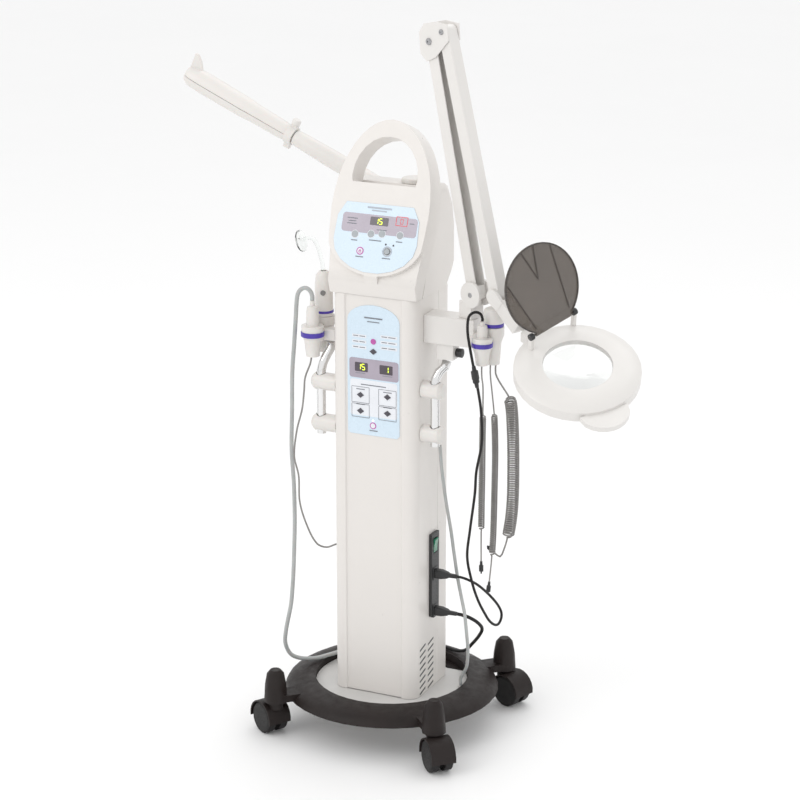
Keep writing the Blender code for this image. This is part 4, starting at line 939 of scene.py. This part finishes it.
def make_column_prints():
    """The column panel's display, keys and legends."""
    film = ("tower", "panel_film")
    zone = rounded(0.0470, 0.0340, 0.0040, 4, (0.0005, 0.6550))
    flat_pieces("column_white_zone", [zone], FILM_WHITE, PANEL, *film)
    strip = rounded(0.0490, 0.0185, 0.0050, 5, (0.0010, 0.7105))
    flat_pieces("column_display", [strip], DISPLAY, PANEL, *film, high=0.0005)
    windows = [rounded(0.0130, 0.0085, 0.0015, 3, (x, 0.7125)) for x in (-0.0240, 0.0255)]
    flat_pieces("column_windows", windows, DISPLAY_DARK, PANEL, *film, low=0.0003, high=0.0007)
    lit = digits("15", -0.0285, 0.7130, 0.0105) + digits("1", 0.0270, 0.7130, 0.0105)
    flat_pieces("column_digits", lit, DIGIT_YELLOW, PANEL, *film, low=0.0006, high=0.0009)
    pale = [bar(-0.0280, z, 0.0140, 0.0028) for z in (0.7495, 0.7600, 0.7705)]
    pale += [bar(0.0310, z, 0.0165, 0.0028) for z in (0.7530, 0.7635, 0.7740)]
    flat_pieces("column_pale_legends", pale, FILM_WHITE, PANEL, *film)
    marks = []
    for z in (0.7495, 0.7600, 0.7705):
        marks += [bar(-0.0350, z, 0.0050, 0.0007), bar(-0.0220, z, 0.0055, 0.0007)]
    for z in (0.7530, 0.7635, 0.7740):
        marks += [bar(0.0220, z, 0.0055, 0.0007), bar(0.0370, z, 0.0070, 0.0007)]
    for x in (-0.0260, 0.0280):
        marks.append(bar(x, 0.7010, 0.0100, 0.0006))
        marks += [bar(x, z, 0.0085, 0.0008) for z in (0.6705, 0.6420)]
        marks += border(x, 0.6600, 0.0175, 0.0150, 0.0004) + border(x, 0.6300, 0.0175, 0.0125, 0.0004)
    marks += [bar(0.0, 0.6800, 0.0250, 0.0009), bar(0.0, 0.5945, 0.0080, 0.0008)]
    marks += [bar(0.0, 0.8060, 0.0180, 0.0012), bar(0.0, 0.7990, 0.0120, 0.0008)]
    flat_pieces("column_legends", marks, PRINT, PANEL, *film, low=0.0002, high=0.0006)
    keys = [diamond(x, z, 0.0072, 0.0056) for x, z in (
        (-0.0260, 0.6597), (0.0280, 0.6620), (-0.0260, 0.6293), (0.0280, 0.6310), (0.0, 0.7440))]
    flat_pieces("column_keys", keys, KEY_DARK, PANEL, "tower", "grey_plastic", low=0.0002, high=0.0011)
    disc("column_round_key", 0.0, 0.7627, 0.0052, 0.0011, MAGENTA, PANEL)
    disc("column_power_ring", -0.0010, 0.6040, 0.0064, 0.0005, MAGENTA, PANEL)
    disc("column_power_key", -0.0010, 0.6040, 0.0046, 0.0009, FILM_WHITE, PANEL)
    disc("column_power_light", -0.0010, 0.6135, 0.0016, 0.0008, POWER_LIGHT, PANEL)


def make_vent_shade():
    """Two columns of slanted slots low on each side of the column, drawn as thin black bars: painted shade
    for the slots' dark insides.
    """
    heights = [VENT_BOTTOM + VENT_STEP * i for i in range(VENT_ROWS)]
    for name, side in (("side_vents", 1), ("left_side_vents", -1)):
        place = axes((side * COLUMN_SIDE, 0, 0), (0, side, 0), (side, 0, 0))
        vent_shade_bars = []
        for y in VENT_COLUMNS:
            vent_shade_bars += [bar(side * y, z, 0.0120, 0.0018, side * VENT_SLANT) for z in heights]
        # The black bars are painted shade. No slots are cut, and the dark of their insides is painted on.
        flat_pieces(name, vent_shade_bars, BLACK, place, "tower", "black_plastic", low=-0.0002, high=0.0003)


def band(name, axis, radius, low, high, mat, body, swell=0.0008, slot="grey_plastic"):
    """A raised coloured band around a cup or a tool."""
    inner, shoulder, outer = radius - 0.0006, radius + 0.6 * swell, radius + swell
    rounding = 0.15 * (high - low)
    shape = [(inner, low), (shoulder, low), (outer, low + rounding)]
    shape += [(outer, high - rounding), (shoulder, high), (inner, high)]
    return ring_of(name, shape, mat, at(axis), body, slot, 48)


def make_bands():
    """The purple bands of the holders and tools, and the handle's side button."""
    band("probe_band", PROBE_AXIS, 0.0175, 0.8108, 0.8172, PURPLE, "probe", 0.0012)
    band("right_cup_band", RIGHT_FRONT_CUP, 0.0185, 0.7790, 0.7870, PURPLE, "tower")
    band("left_cup_band", LEFT_FRONT_CUP, 0.0210, 0.7500, 0.7590, PURPLE, "tower")
    band("handle_band", HANDLE_AXIS, 0.0172, 0.7860, 0.7905, PURPLE, "hf_handle")
    button = [(0, 0.0), (0.0048, 0.0), (0.0048, 0.0024), (0.0036, 0.0036), (0, 0.0038)]
    place = axes(HANDLE_AXIS + Vector((0.006, -0.0155, 0.826)), (0, 0, 1), (0.35, -0.94, 0))
    turned("handle_button", button, GREY, place, "hf_handle", 24)


def arm_place(point, depth):
    """At a point of the lamp arms' plane: X along the plane, Y up, Z to its front."""
    along = Vector((math.cos(LAMP_TURN), math.sin(LAMP_TURN), 0))
    front = Vector((math.sin(LAMP_TURN), -math.cos(LAMP_TURN), 0))
    return axes(LAMP_AXIS + point[0] * along + Vector((0, 0, point[1])) + depth * front, along, front)


def screw(name, place, radius, body):
    """A round screw head with a recess."""
    dome = [(0, -0.0006), (radius, -0.0006), (radius, 0.3 * radius), (0.75 * radius, 0.6 * radius)]
    dome += [(0.22 * radius, 0.66 * radius), (0.20 * radius, 0.25 * radius), (0, 0.25 * radius)]
    return turned(name, dome, SCREW, place, body, 24)


def make_arm_screws():
    """The screw heads at the lamp arms' pivots."""
    screw("elbow_screw_lower", arm_place(ELBOW_LOWER, 0.0155), 0.0062, "elbow")
    screw("elbow_screw_upper", arm_place(ELBOW_UPPER, 0.0155), 0.0050, "elbow")
    for name, point, body, depth in (
        ("lower_arm_screw", LAMP_BASE_PIVOT, "lower_arm", 0.0160),
        ("wrist_screw", WRIST, "upper_arm", 0.0120),
    ):
        screw(name, arm_place(point, depth), 0.0055, body)


def stroke(start, end, half):
    """A thin straight bar between two points."""
    run = (Vector(end) - Vector(start)).normalized() * half
    side = Vector((-run.y, run.x))
    return [tuple(Vector(start) + side), tuple(Vector(start) - side), tuple(Vector(end) - side),
            tuple(Vector(end) + side)]


def make_cover_details():
    """The smoked cover's thick rim and its moulded creases, and the clips at its hinge."""
    normal = (LENS_NORMAL - LENS_NORMAL.dot(HEAD_OUTWARD) * HEAD_OUTWARD).normalized()
    middle = arm_place(LENS_CENTRE, 0.0).translation - HEAD_DROP * normal
    head = axes(middle, HEAD_OUTWARD, normal)
    hinge = head @ at(COVER_HINGE)
    cover = hinge @ Matrix.Rotation(-COVER_OPEN, 4, "Y")
    rim = [(0.0762, -0.0056), (0.0788, -0.0056), (0.0788, -0.0019), (0.0762, -0.0019)]
    riding = ("lens_cover", "smoked_acrylic")
    round_middle = cover @ at((0.070, 0, 0)) @ turn_z(-148)
    ring_of("cover_rim", rim, SMOKE_EDGE, round_middle, *riding, 60, 296.0)
    creases = [
        stroke((0.010, -0.0380), (0.104, -0.0660), 0.0011),
        stroke((0.014, 0.0400), (0.132, 0.0430), 0.0009),
        stroke((0.088, -0.0020), (0.145, 0.0090), 0.0010),
        stroke((0.088, -0.0020), (0.143, -0.0180), 0.0010),
    ]
    flat_pieces("cover_creases", creases, SMOKE_EDGE, cover, *riding, -0.0054, -0.0021)
    sideways = Matrix.Rotation(math.radians(-90), 4, "X")
    for name, low, high in (("left", -0.0540, -0.0460), ("right", 0.0460, 0.0540)):
        clip = [(0, low), (0.0058, low), (0.0062, low + 0.001)]
        clip += [(0.0062, high - 0.001), (0.0058, high), (0, high)]
        turned("hinge_clip_" + name, clip, BLACK, hinge @ sideways, "lamp_head", 24)


make_cover_details()
make_head_prints()
make_column_prints()
make_vent_shade()
make_bands()
make_arm_screws()
